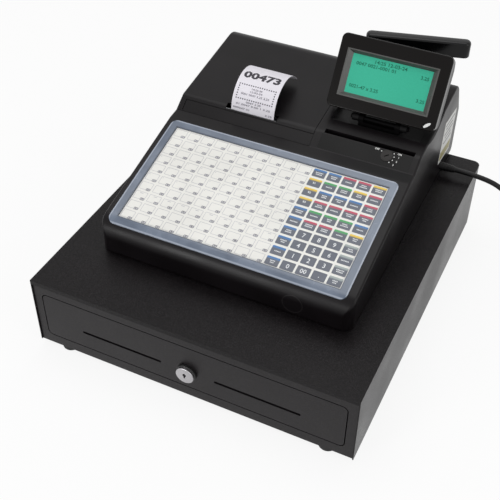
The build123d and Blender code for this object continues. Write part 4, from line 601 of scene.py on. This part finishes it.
keyboard = {
    "columns": 15,
    "rows": 10,
    "plainColumns": 10,
    "pitchX": 0.0183,
    "pitchY": 0.01475,
    "sheetTop": -0.0008,
    "outline": (0.0154, 0.0113),
    "outlineCorner": 0.0007,
    "outlineLine": 0.00048,
    "badge": (0.0054, 0.0034),
    "badgeCorner": 0.0009,
    "badgeThick": 0.0001,
    "badgeRim": 0.00055,
    "badgeRimThick": 0.00014,
    "badgeAway": (0.0047, -0.0045),
    "number": {"size": 0.0023, "stretch": 0.9, "bold": 0.00005, "thick": 0.00004},
    "numberLift": 0.00013,
    # small marks on some rows of plain keys, and their places in a cell
    "dot": (0.0010, 0.0010),
    "dotCorner": 0.0003,
    "dotAway": (-0.0055, 0.0035),
    "dotRows": (3, 4, 5),
    "bar": (0.0042, 0.0008),
    "barAway": (0.0, 0.0035),
    "barRow": 7,
    # dark keys with a figure, a sign or marks in place of words
    "darkKey": (0.0158, 0.0117),
    "darkCorner": 0.0011,
    "darkThick": 0.0001,
    "figureSize": 0.0082,
    "signSize": 0.0036,
    "figureLook": {"stretch": 0.92, "bold": 0.00009, "thick": 0.00005},
    "figureDrop": 0.0004,
    "pointRise": 0.0012,
    "mark": (0.00105, 0.0014),
    "markThick": 0.00005,
    "markPitch": 0.00155,
    "markLift": 0.00012,
    "lineRises": (0.0007, -0.0018),
    "loneRise": -0.0008,
}
# colour of each printed key's upper band, row by row from the back
keyBands = [
    "blue blue red red yellow",
    "yellow green green yellow red",
    "yellow blue blue blue red",
    "yellow red red red red",
    "blue green green green blue",
    "blue red red green yellow",
    "blue plain plain plain pale",
    "blue plain plain plain pale",
    "blue plain plain plain pale",
    "blue plain plain plain pale",
]
# by row and column
keyFigures = {(6, 11): "7", (6, 12): "8", (6, 13): "9", (7, 11): "4", (7, 12): "5", (7, 13): "6",
              (8, 11): "1", (8, 12): "2", (8, 13): "3", (9, 11): "0", (9, 12): "00", (9, 13): ".",
              (1, 10): "%1", (2, 10): "%2", (3, 10): "%3"}
keyLook = {
    "slate": tone(80, 85, 97),
    "paleSlate": tone(86, 91, 103),
    "rough": 0.38,
    "bandSpan": (0.62, 0.82),  # share of a cell's depth over which the band comes in
    "speckScale": 2600.0,
    "speckShare": 0.1,
    "cloudScale": 60.0,
    "cloudSpan": (0.35, 0.65),
    "gloss": (0.34, 0.42),
}


def cellCentre(values, row, column):
    across = (column + 0.5 - values["columns"] / 2) * values["pitchX"]
    along = (values["rows"] - row - 0.5) * values["pitchY"]
    return across, along


def deckField(field):
    # how far across and along the deck a point is
    spots = place(field)
    product = {"operation": "DOT_PRODUCT"}
    along = field.node("ShaderNodeVectorMath", product, {0: spots, 1: deckAlong}, out="Value")
    return spots.axis("X") - deckShift, along - deckSpot.translation.dot(Vector(deckAlong))


def keyFinish(name, colour):
    # slate key whose printed band fades out downwards
    finish, field, shader = newFinish(name, keyLook["slate"], keyLook["rough"])
    _, along = deckField(field)
    speck = noise(field, keyLook["speckScale"], 1.0)
    cell = (along / keyboard["pitchY"]).maths("FRACT")
    fade = (cell + (speck - 0.5) * keyLook["speckShare"]).between(*keyLook["bandSpan"])
    cloud = noise(field, keyLook["cloudScale"]).between(*keyLook["cloudSpan"])
    ground = cloud.mix(keyLook["slate"], keyLook["paleSlate"])
    paint(shader, fade.mix(ground, colour), cloud.between(0, 1, *keyLook["gloss"]))
    return finish


bandFinishes = {
    "blue": keyFinish("blueBand", tone(52, 112, 172)),
    "red": keyFinish("redBand", tone(188, 62, 88)),
    "yellow": keyFinish("yellowBand", tone(232, 196, 66)),
    "green": keyFinish("greenBand", tone(58, 156, 82)),
    "pale": keyFinish("paleBand", tone(158, 168, 166)),
    "plain": keyFinish("plainBand", tone(82, 87, 99)),
}
outlineInk = smoothFinish("outlineInk", tone(188, 188, 192), 0.5)
badgeInk = smoothFinish("badgeInk", tone(198, 198, 202), 0.5, spread=0.95)
badgeRimInk = smoothFinish("badgeRimInk", tone(104, 104, 112), 0.5)
numberInk = smoothFinish("numberInk", tone(58, 58, 66), 0.5)
legendInk = smoothFinish("legendInk", tone(228, 230, 232), 0.45, spread=0.96)


def layKey(piece, values, row, column, awayX=0.0, awayY=0.0, lift=0.0):
    across, along = cellCentre(values, row, column)
    return copyTo(piece, shift(across + awayX, along + awayY, values["sheetTop"] + lift))


def finishKeys(name, pieces, finish):
    joined = joinAs(name, pieces, finish, deckSpot)
    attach(joined, "register")


def addPlainKeys(values):
    corner = values["badgeCorner"]
    outline = addPlate("outline", *values["outline"], values["outlineCorner"], values["outlineLine"])
    badge = addPlate("badge", *values["badge"], corner, thick=values["badgeThick"])
    rim = addPlate("badgeRim", *values["badge"], corner, values["badgeRim"], values["badgeRimThick"])
    dot = addPlate("dot", *values["dot"], values["dotCorner"])
    bar = addPlate("bar", *values["bar"])
    outlines, badges, rims, numbers = [], [], [], []
    awayX, awayY = values["badgeAway"]
    for row in range(values["rows"]):
        for column in range(values["plainColumns"]):
            outlines.append(layKey(outline, values, row, column))
            badges.append(layKey(badge, values, row, column, awayX, awayY))
            rims.append(layKey(rim, values, row, column, awayX, awayY))
            if row in values["dotRows"]:
                outlines.append(layKey(dot, values, row, column, *values["dotAway"]))
            if row == values["barRow"]:
                outlines.append(layKey(bar, values, row, column, *values["barAway"]))
            across, along = cellCentre(values, row, column)
            spot = shift(across + awayX, along + awayY, values["sheetTop"] + values["numberLift"])
            number = str(row * values["plainColumns"] + column + 1)
            numbers.append(addWords(number, spot=spot, **values["number"]))
    for piece in (outline, badge, rim, dot, bar):
        remove(piece)
    finishKeys("keyOutlines", outlines, outlineInk)
    finishKeys("keyBadges", badges, badgeInk)
    finishKeys("keyBadgeRims", rims, badgeRimInk)
    finishKeys("keyNumbers", numbers, numberInk)


def markLines(values, row, column):
    # how many marks stand for the words on a key, line by line, and each line's rise
    pattern = (row * 5 + column * 3) % 4
    if (row + column) % 3 == 0:
        return [(5 + pattern % 2, values["loneRise"])]
    return list(zip((4 + pattern % 3, 3 + (pattern + row) % 4), values["lineRises"]))


def addPrintedKeys(values):
    key = addPlate("darkKey", *values["darkKey"], values["darkCorner"], thick=values["darkThick"])
    mark = addPlate("legendMark", *values["mark"], thick=values["markThick"])
    lift = values["markLift"]
    byBand = {name: [] for name in bandFinishes}
    legends = []
    for row in range(values["rows"]):
        bands = keyBands[row].split()
        for column in range(values["plainColumns"], values["columns"]):
            band = bands[column - values["plainColumns"]]
            byBand[band].append(layKey(key, values, row, column))
            figure = keyFigures.get((row, column))
            if figure:
                size = values["signSize"] if "%" in figure else values["figureSize"]
                rise = values["pointRise"] if figure == "." else 0.0
                across, along = cellCentre(values, row, column)
                spot = shift(across, along - values["figureDrop"] + rise, values["sheetTop"] + lift)
                legends.append(addWords(figure, size, spot, **values["figureLook"]))
                continue
            for count, away in markLines(values, row, column):
                for index in range(count):
                    x = (index - (count - 1) / 2) * values["markPitch"]
                    legends.append(layKey(mark, values, row, column, x, away, lift))
    remove(key)
    remove(mark)
    for band, pieces in byBand.items():
        finishKeys(band + "Keys", pieces, bandFinishes[band])
    finishKeys("keyLegends", legends, legendInk)


addPlainKeys(keyboard)
addPrintedKeys(keyboard)
print("keyboard printed")


# operator display: figures on the glass, and the small light window

displaySpot = shift(0.0928, 0.0815, 0.2222) @ turnBy(-30.6, "X")
glassSpot = displaySpot @ turnBy(90, "X")

displayText = {
    "height": 0.0056,
    "depth": -0.0048,
    "lift": 0.00006,
    "look": {"bold": 0.00012, "thick": 0.00008},
    # figures, the middle of their line across and up the glass, and their width
    "lines": [("14:25 12-03-24", -0.0029, 0.0615, 0.0393), ("0047 0021-0001 01", -0.0192, 0.0560, 0.0489),
              ("3.25", 0.0400, 0.0564, 0.0098), ("0021-47 x 3.25", -0.0281, 0.0290, 0.0362),
              ("3.25", 0.0415, 0.0298, 0.0098)],
}
statusLens = {
    "size": (0.0050, 0.0021, 0.0025),
    "place": (0.0576, 0.0060, -0.0014),
    "lean": 38,
    "edge": 0.0004,
    "points": 32,
}
lcdInk = smoothFinish("lcdInk", tone(22, 112, 88), 0.4, shine=0.2)
lightLens = smoothFinish("lightLens", tone(226, 228, 226), 0.25, spread=0.96)


def addDisplayText(values):
    words = []
    for text, x, y, wide in values["lines"]:
        spot = shift(x, y, values["depth"] + values["lift"])
        words.append(addWords(text, values["height"], spot, wide=wide, **values["look"]))
    text = joinAs("displayFigures", words, lcdInk, glassSpot)
    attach(text, "operator_display")


def addLightLens(values):
    # an oval button: its size scales a rod of radius and height 1
    lens = addRod("statusLens", 1, 1, points=values["points"])
    lens.data.transform(Matrix.Diagonal((*values["size"], 1)))
    lens.data.transform(shift(*values["place"]) @ turnBy(values["lean"], "Z"))
    softenEdges(lens, values["edge"])
    lens.data.transform(glassSpot)
    wear(lens, lightLens)
    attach(lens, "operator_display")


addDisplayText(displayText)
addLightLens(statusLens)
print("display lit")


# mode lock: dots and the names of its positions round it

panelSpot = shift(0, 0.0375, 0.18901) @ turnBy(33.55, "X")

modeMarks = {
    "centre": (0.1172, 0.01413),
    "dot": 0.0012,
    "dotLift": 0.00002,
    "dotRadius": 0.0088,
    "dotAngles": (152, 32, 5, -24, -54),
    "textHeight": 0.0031,
    "textLift": 0.00005,
    "bold": 0.00008,
    "words": [("OFF", -0.0134, 0.0052), ("ON", 0.0140, 0.0054), ("1", 0.0142, 0.0011),
              ("2", 0.0134, -0.0042), ("3", 0.0108, -0.0092)],
}


def addModeMarks(values):
    centreX, centreY = values["centre"]
    pieces = []
    dot = addPlate("dot", values["dot"], values["dot"], corner=values["dot"] / 3)
    for angle in values["dotAngles"]:
        middle = shift(centreX, centreY, values["dotLift"])
        pieces.append(copyTo(dot, middle @ turnBy(angle, "Z") @ shift(values["dotRadius"], 0)))
    remove(dot)
    for text, x, y in values["words"]:
        spot = shift(centreX + x, centreY + y, values["textLift"])
        pieces.append(addWords(text, values["textHeight"], spot, bold=values["bold"]))
    marks = joinAs("modeMarks", pieces, markInk, panelSpot)
    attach(marks, "register")


addModeMarks(modeMarks)
print("mode marks laid")


# receipt: figures printed flat, then laid on the paper's curve

receipt = {
    "centreX": -0.05845,
    "centreY": 0.0918,
    "centreZ": 0.1976,
    "radius": 0.038,
    "lift": 0.00006,
    "cuts": 75,
    "cutPitch": 0.001,
    "heading": ("00473", 0.0145, 0.049, 0.0508),  # figures, height, width, place along the paper
    "headingBold": 0.0006,
    "dot": (0.0015, 0.0015),
    "dotPitch": 0.0030,
    "boxLow": 0.0184,
    "boxDots": (16, 6),  # steps across and along
    "lineBold": 0.00006,
    # figures, their middle across and along the paper, height and width
    "lines": [("14:25:30", 0.0, 0.0322, 0.0032, 0.014), ("12-03-24", 0.0, 0.0287, 0.0032, 0.016),
              ("0001 0047 3.25 3.25", 0.0, 0.0246, 0.0034, 0.038),
              ("0047 3.25", 0.0, 0.0150, 0.0032, 0.020),
              ("01 0047 0.00 1 3.25", 0.0, 0.0115, 0.0032, 0.046),
              ("000047 01", -0.0150, 0.0062, 0.0032, 0.022), ("3.25", 0.0215, 0.0048, 0.0032, 0.009)],
}
receiptInk = smoothFinish("receiptInk", tone(34, 31, 42), 0.6)
dotInk = smoothFinish("dotInk", tone(60, 56, 70), 0.6)
faintInk = smoothFinish("faintInk", tone(112, 108, 120), 0.6)


def wrapOnPaper(piece, values):
    # cut across every millimetre, so that it can follow the curve
    choose(piece)
    bpy.ops.object.mode_set(mode="EDIT")
    for step in range(1, values["cuts"]):
        bpy.ops.mesh.select_all(action="SELECT")
        bpy.ops.mesh.bisect(plane_co=(0, step * values["cutPitch"], 0), plane_no=(0, 1, 0))
    bpy.ops.object.mode_set(mode="OBJECT")
    for vertex in piece.data.vertices:
        x, along, up = vertex.co
        angle = along / values["radius"]
        reach = values["radius"] + values["lift"] + up
        y = values["centreY"] - reach * cos(angle)
        z = values["centreZ"] + reach * sin(angle)
        vertex.co = (values["centreX"] + x, y, z)
    piece.data.update()


def receiptDots(values):
    # dots round a box
    dot = addPlate("dot", *values["dot"])
    pitch = values["dotPitch"]
    across, up = values["boxDots"]
    dots = []
    for index in range(across + 1):
        for step in range(up + 1):
            if index in (0, across) or step in (0, up):
                dots.append(copyTo(dot, shift((index - across / 2) * pitch, values["boxLow"] + step * pitch)))
    remove(dot)
    return dots


def addReceiptPrint(values):
    figures, size, wide, along = values["heading"]
    heading = [addWords(figures, size, shift(0, along), bold=values["headingBold"], wide=wide)]
    dots = receiptDots(values)
    lines = []
    for text, x, along, size, wide in values["lines"]:
        lines.append(addWords(text, size, shift(x, along), bold=values["lineBold"], wide=wide))
    layers = [("receiptFigures", heading, receiptInk), ("receiptDots", dots, dotInk),
              ("receiptLines", lines, faintInk)]
    for name, pieces, ink in layers:
        layer = joinAs(name, pieces, ink)
        wrapOnPaper(layer, values)
        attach(layer, "print_cover")


addReceiptPrint(receipt)
print("receipt printed")


# seam ring round the blank plug in the nose, laid on the curved wall

plugRing = {
    "centre": (0.0885, 0.1205),
    "radius": 0.0119,
    "width": 0.0008,
    "lift": 0.00006,
    "points": 72,
    "ahead": -0.4,  # a Y in front of the nose
}
ringInk = smoothFinish("ringInk", tone(42, 40, 41), 0.4, shine=0.25)


def wallDepth(x, z, start):
    # where the nose's outer wall lies, seen from the front
    depths = []
    for name in ("upper_case", "nose_plug"):
        hit, spot, _, _ = nodes[name].ray_cast(Vector((x, start, z)), Vector((0, 1, 0)))
        if hit:
            depths.append(spot.y)
    return min(depths)


def addPlugRing(values):
    outer = values["radius"] + values["width"] / 2
    clearSelection()
    bpy.ops.mesh.primitive_circle_add(vertices=values["points"], radius=outer, fill_type="NGON")
    ring = bpy.context.object
    ring.name = "plugRing"
    settle(ring)
    bpy.ops.object.mode_set(mode="EDIT")
    bpy.ops.mesh.select_all(action="SELECT")
    bpy.ops.mesh.inset(thickness=values["width"])
    bpy.ops.mesh.delete(type="FACE")
    bpy.ops.object.mode_set(mode="OBJECT")
    thicken(ring, values["lift"])
    centreX, centreZ = values["centre"]
    for vertex in ring.data.vertices:
        x = centreX + vertex.co.x
        z = centreZ + vertex.co.y
        vertex.co = (x, wallDepth(x, z, values["ahead"]) - vertex.co.z, z)
    ring.data.update()
    wear(ring, ringInk)
    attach(ring, "register")


addPlugRing(plugRing)
print("plug ring laid")


# label on the body's right side: bars for its print and a strip below them

sideLabel = {
    "size": (0.052, 0.060),
    "centre": (0.1565, 0.183, 0.1535),
    "lean": -6,
    "corner": 0.002,
    "thick": 0.00012,
    "printLift": 0.00013,
    "printThick": 0.00005,
    "barWidths": (0.82, 0.6, 0.74, 0.5, 0.68),  # shares of the label's width
    "barTall": 0.0018,
    "barStart": 0.023,
    "barPitch": 0.0065,
    "stripWidth": 0.9,
    "stripTall": 0.013,
    "stripCorner": 0.0008,
    "stripAway": -0.020,
}
stripInk = smoothFinish("stripInk", tone(150, 142, 96), 0.5)


def addSideLabel(values):
    spot = shift(*values["centre"]) @ turnBy(90, "Z") @ turnBy(90, "X") @ turnBy(values["lean"], "Z")
    wide, tall = values["size"]
    thick = values["printThick"]
    label = addPlate("sideLabel", wide, tall, corner=values["corner"], thick=values["thick"])
    label.data.transform(spot)
    wear(label, labelPaper)
    bars = []
    for index, share in enumerate(values["barWidths"]):
        bar = addPlate("labelBar", wide * share, values["barTall"], thick=thick)
        bar.data.transform(shift(0, values["barStart"] - index * values["barPitch"], values["printLift"]))
        bars.append(bar)
    lines = joinAs("labelBars", bars, labelInk, spot)
    strip = addPlate("labelStrip", wide * values["stripWidth"], values["stripTall"],
                     corner=values["stripCorner"], thick=thick)
    strip.data.transform(spot @ shift(0, values["stripAway"], values["printLift"]))
    wear(strip, stripInk)
    for piece in (label, lines, strip):
        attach(piece, "register")


addSideLabel(sideLabel)
print("label laid")


# customer bar: round ends and top, window bay in its back, neck below

customerBar = {
    "size": (0.125, 0.015, 0.020),
    "shiftX": 0.001,
    # radius and steps of each rounding
    "endRound": (0.0068, 8),
    "topRound": (0.0037, 5),
    "lowRound": (0.0015, 3),
    "bay": (0.1052, 0.0140, 0.0130),
    "bayPlace": (0.0, 0.0010, -0.0003),
    # radius and height
    "collar": (0.009, 0.0075),
    "neck": (0.0069, 0.0235),
    "sunk": 0.0005,  # how far the collar and the neck reach into what is above
    "place": (0.1015, 0.178, 0.274),
    "yaw": 15.3,
}


def roundEdges(piece, wanted, offset, segments):
    # bevels the edges whose two ends are wanted
    bpy.ops.object.mode_set(mode="EDIT")
    bpy.ops.mesh.select_mode(type="EDGE")
    bpy.ops.mesh.select_all(action="DESELECT")
    bpy.ops.object.mode_set(mode="OBJECT")
    for edge in piece.data.edges:
        ends = [piece.data.vertices[index].co for index in edge.vertices]
        edge.select = wanted(*ends)
    bpy.ops.object.mode_set(mode="EDIT")
    bpy.ops.mesh.bevel(offset=offset, segments=segments, affect="EDGES")
    bpy.ops.mesh.select_mode(type="VERT")
    bpy.ops.object.mode_set(mode="OBJECT")


def addCustomerBar(values):
    tall = values["size"][2]
    nearEnd = tall * 0.49
    bar = addBox("customerBar", values["size"])
    roundEdges(bar, lambda a, b: abs(a.z - b.z) > nearEnd, *values["endRound"])
    roundEdges(bar, lambda a, b: min(a.z, b.z) > nearEnd, *values["topRound"])
    roundEdges(bar, lambda a, b: max(a.z, b.z) < -nearEnd, *values["lowRound"])
    bar.data.transform(shift(values["shiftX"], 0))
    combine(bar, addBox("windowBay", values["bay"], values["bayPlace"]), "DIFFERENCE")
    low = -tall / 2
    for name in ("collar", "neck"):
        radius, high = values[name]
        combine(bar, addRod(name, radius, high, (0, 0, low + values["sunk"] - high / 2)), "UNION")
        low += values["sunk"] - high
    bar.data.transform(shift(*values["place"]) @ turnBy(values["yaw"], "Z"))
    smoothShade(bar)
    wear(bar, barPlastic)
    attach(bar, "customer_display")
    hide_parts("customer_housing")


addCustomerBar(customerBar)
print("customer bar shaped")


# screws in the rear walls

rearScrews = {
    "radius": 0.0033,
    "rise": 0.0012,
    "sunk": 0.0010,
    "edge": 0.0006,
    "points": 24,
    "slot": (0.0038, 0.0008, 0.0010),
    "behind": 0.5,  # a Y behind the walls
    # node, and the place across and up its rear wall
    "places": [("cabinet_shell", -0.186, 0.090), ("cabinet_shell", 0.186, 0.090),
               ("cabinet_shell", -0.186, 0.022), ("cabinet_shell", 0.186, 0.022),
               ("upper_case", -0.140, 0.135), ("upper_case", 0.140, 0.135)],
}


def addScrews(values):
    head = addRod("screwHead", values["radius"], values["rise"] + values["sunk"], points=values["points"])
    softenEdges(head, values["edge"], 3)
    top = (values["rise"] + values["sunk"]) / 2
    long, thin, deep = values["slot"]
    for size in ((long, thin, deep), (thin, long, deep)):
        combine(head, addBox("slotCut", size, (0, 0, top)), "DIFFERENCE")
    screws = []
    for name, x, z in values["places"]:
        _, spot, normal, _ = nodes[name].ray_cast(Vector((x, values["behind"], z)), Vector((0, -1, 0)))
        turn = normal.to_track_quat("Z", "Y").to_matrix().to_4x4()
        screws.append(copyTo(head, shift(*spot) @ turn @ shift(0, 0, values["rise"] - top)))
    remove(head)
    joined = joinAs("rearScrews", screws, zincPlate)
    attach(joined, "register")


addScrews(rearScrews)
print("screws set")


# finishes of the carried-over nodes

overlayLook = {
    "base": tone(98, 108, 124),
    "tones": (tone(92, 102, 118), tone(112, 122, 138)),
    "rough": 0.22,
    "gloss": (0.18, 0.28),
    "bloomScale": 30.0,
    # how far outside the cells the inner line ends and the outer edge begins
    "lineSpan": (0.0016, 0.0007),
    "lineTone": tone(78, 86, 100),
    "edgeSpan": (0.0080, 0.0090),
    "edgeTone": tone(150, 158, 172),
}
plugLook = {
    "base": tone(22, 21, 22),
    "tones": (tone(20, 19, 20), tone(32, 31, 32)),
    "rough": 0.45,
    "gloss": (0.46, 0.25),  # of the moulding and of the blades
    "grainScale": 1200.0,
    "grainSpan": (0.35, 0.65),
    "bladeSpan": (0.2912, 0.2908),  # the X where the blades leave the moulding
    "bladeTone": tone(196, 190, 170),
}
lockLook = {
    "base": tone(206, 206, 208),
    "tones": (tone(214, 214, 216), tone(200, 200, 203)),
    "rough": 0.2,
    "gloss": (0.16, 0.24),
    "cloudScale": 60.0,
    "behindSpan": (-0.2352, -0.2348),  # the Y of the polished face's rear edge
    # painted shade on the flange behind the polished face
    "flangePaintedShade": tone(26, 25, 26),
    "behindMatt": 0.25,
    "behindDull": 0.9,
}
lcdLook = {
    "base": tone(60, 170, 142),
    "tones": (tone(56, 162, 134), tone(68, 182, 152)),
    "rough": 0.3,
    "gloss": (0.24, 0.32),
    "glow": {"glow": 0.1, "glowColour": tone(66, 178, 148), "shine": 0.16},
    "cloudScale": 10.0,
    "cloudSpan": (0.2, 0.8),
    "speckScale": 700.0,
}


def overlayFinish(look):
    # blue-grey rim with a dark inner line and a pale outer edge
    finish, field, shader = newFinish("overlayRim", look["base"], look["rough"])
    across, along = deckField(field)
    half = keyboard["columns"] * keyboard["pitchX"] / 2
    middle = keyboard["rows"] * keyboard["pitchY"] / 2
    outX = across.maths("ABSOLUTE") - half
    outY = (along - middle).maths("ABSOLUTE") - middle
    out = outX.maths("MAXIMUM", outY)
    bloom = noise(field, look["bloomScale"]).between(*glossSpan)
    lined = out.between(*look["lineSpan"]).mix(bloom.mix(*look["tones"]), look["lineTone"])
    edged = out.between(*look["edgeSpan"]).mix(lined, look["edgeTone"])
    paint(shader, edged, bloom.between(0, 1, *look["gloss"]))
    return finish


def plugFinish(look):
    # black moulding with bright blades and pin
    finish, field, shader = newFinish("plugMoulding", look["base"], look["rough"])
    spots = place(field)
    blade = spots.axis("X").between(*look["bladeSpan"])
    ground = noise(field, look["grainScale"], 3.0, spots).between(*look["grainSpan"]).mix(*look["tones"])
    paint(shader, blade.mix(ground, look["bladeTone"]), blade.between(0, 1, *look["gloss"]))
    feed(blade, shader, "Metallic")
    return finish


def lockFinish(look):
    # polished face, with painted shade behind it: the flange in the gap behind the face is dark, matt and not
    # metal
    finish, field, shader = newFinish("lockFace", look["base"], look["rough"], metal=1.0)
    spots = place(field)
    behind = spots.axis("Y").between(*look["behindSpan"])
    cloud = noise(field, look["cloudScale"], 2.0, spots).between(*glossSpan)
    # painted shade behind the polished face
    shade = behind.mix(cloud.mix(*look["tones"]), look["flangePaintedShade"])
    paint(shader, shade, cloud.between(0, 1, *look["gloss"]) + behind * look["behindMatt"])
    feed(1 - behind * look["behindDull"], shader, "Metallic")
    return finish


def lcdFinish(look):
    # lit green glass with faint clouds and specks
    finish, field, shader = newFinish("lcdGlass", look["base"], look["rough"], **look["glow"])
    cloud = noise(field, look["cloudScale"], 0.0).between(*look["cloudSpan"])
    speck = noise(field, look["speckScale"], 1.0)
    shade = (cloud * 0.5 + speck * 0.5).mix(*look["tones"])
    paint(shader, shade, cloud.between(0, 1, *look["gloss"]))
    return finish


keySheet = smoothFinish("keySheet", tone(234, 233, 228), 0.4, spread=0.95, shine=0.3)
paperWhite = smoothFinish("paperWhite", tone(230, 227, 234), 0.6, spread=0.97, shine=0.2)
windowPlastic = smoothFinish("windowPlastic", tone(16, 22, 24), 0.12)
tubeGlass = smoothFinish("tubeGlass", tone(40, 70, 66), 0.15)

nodeFinishes = {
    drawerPaint: ["cabinet_shell", "cabinet_base"],
    frontPaint: ["cabinet_front_frame", "drawer_front"],
    zincPlate: ["cabinet_slides", "drawer_slides", "slide_cages", "drawer_tray", "release_solenoid",
                "release_plunger", "ejector_spring", "printer_frame", "thermal_head", "tear_bar", "cover_rod",
                "paper_motor", "platen_gear_shaft"],
    lockFinish(lockLook): ["lock_collar"],
    barrelSteel: ["lock_barrel"],
    footRubber: ["cabinet_feet"],
    innerPlastic: ["note_tray", "coin_tray", "paper_bin"] + [f"note_clip_{number}" for number in range(1, 6)],
    bodyPlastic: ["lower_case", "nose_plug", "printer_cover", "customer_post"],
    portPlastic: ["rear_ports"],
    # upper case and display shell carry painted shade under the display
    casePaintedShade: ["upper_case"],
    shellPaintedShade: ["display_shell"],
    # hinge parts in painted shade
    hingePaintedShade: ["display_stand", "display_hinge_pin"],
    glossPlastic: ["display_bezel"],
    barPlastic: ["customer_housing"],
    bevelPlastic: ["display_surround"],
    windowPlastic: ["customer_window"],
    tubeGlass: ["customer_tube"],
    panelFilm: ["mode_panel"],
    lockPlastic: ["mode_lock_housing", "mode_key_rotor"],
    overlayFinish(overlayLook): ["key_overlay"],
    keySheet: ["key_sheet"],
    boardGreen: ["key_board", "main_board"],
    paperWhite: ["receipt_paper", "paper_roll", "paper_web"],
    rollerRubber: ["platen_roller"],
    gearPlastic: ["motor_pinion"],
    coreSteel: ["power_supply"],
    lcdFinish(lcdLook): ["lcd_module"],
    cordRubber: ["power_cord", "cord_coil", "strain_relief"],
    plugFinish(plugLook): ["power_plug"],
}
for finish, names in nodeFinishes.items():
    for name in names:
        wear(nodes[name], finish)
bare = [name for name in nodes if not any(name in names for names in nodeFinishes.values())]
print("finishes on the nodes, left bare:", bare)


# floor, lamps and surroundings

stage = {
    "floorSize": 8.0,
    "floorTone": (0.92, 0.92, 0.92, 1),
    "floorGlow": 0.88,
    "worldLight": 0.45,
    "white": (1, 1, 1, 1),
    "aim": (0, 0, 0.1),
    # place, watts and size
    "lamps": {
        "topLamp": (-0.3, 0.3, 2.2, 18.0, 1.6),
        "frontLamp": (-0.75, -2.0, 0.62, 12.5, 0.6),
        "sideLamp": (1.8, -0.5, 1.2, 9.0, 1.2),
    },
}


def clearTree(owner):
    owner.use_nodes = True
    owner.node_tree.nodes.clear()
    return Field(owner.node_tree)


def whiteForCamera(field, most, lit, white, outputKind):
    # shows plain white to the camera and in gloss and glass, and the lit shader to all other rays
    path = field.tree.nodes.new("ShaderNodeLightPath")
    seen = Field(field.tree, path.outputs["Is Camera Ray"])
    for ray in ("Is Glossy Ray", "Is Transmission Ray"):
        seen = seen.maths("MAXIMUM", Field(field.tree, path.outputs[ray]))
    both = field.node("ShaderNodeMixShader", {}, {0: seen * most, 1: lit, 2: white})
    output = field.tree.nodes.new(outputKind)
    field.tree.links.new(both.socket, output.inputs["Surface"])


def addFloor(values):
    clearSelection()
    bpy.ops.mesh.primitive_plane_add(size=values["floorSize"])
    floor = bpy.context.object
    floor.name = "floor"
    paper = bpy.data.materials.new("floorPaper")
    field = clearTree(paper)
    lit = field.node("ShaderNodeBsdfDiffuse", {}, {"Color": values["floorTone"]})
    white = field.node("ShaderNodeEmission", {}, {"Color": values["white"], "Strength": 1.0})
    whiteForCamera(field, values["floorGlow"], lit, white, "ShaderNodeOutputMaterial")
    wear(floor, paper)


def setWorld(values):
    world = bpy.data.worlds.new("studio")
    bpy.context.scene.world = world
    field = clearTree(world)
    soft = field.node("ShaderNodeBackground", {}, {"Color": values["white"], "Strength": values["worldLight"]})
    white = field.node("ShaderNodeBackground", {}, {"Color": values["white"], "Strength": 1.0})
    whiteForCamera(field, 1.0, soft, white, "ShaderNodeOutputWorld")


def addLamp(name, values, aim):
    x, y, z, watts, size = values
    clearSelection()
    bpy.ops.object.light_add(type="AREA", location=(x, y, z))
    lamp = bpy.context.object
    lamp.name = name
    lamp.data.energy = watts
    lamp.data.size = size
    toward = Vector(aim) - Vector((x, y, z))
    lamp.rotation_euler = toward.to_track_quat("-Z", "Y").to_euler()


addFloor(stage)
setWorld(stage)
for lampName, lampValues in stage["lamps"].items():
    addLamp(lampName, lampValues, stage["aim"])
bpy.context.scene.view_settings.view_transform = "Standard"
print("stage set")

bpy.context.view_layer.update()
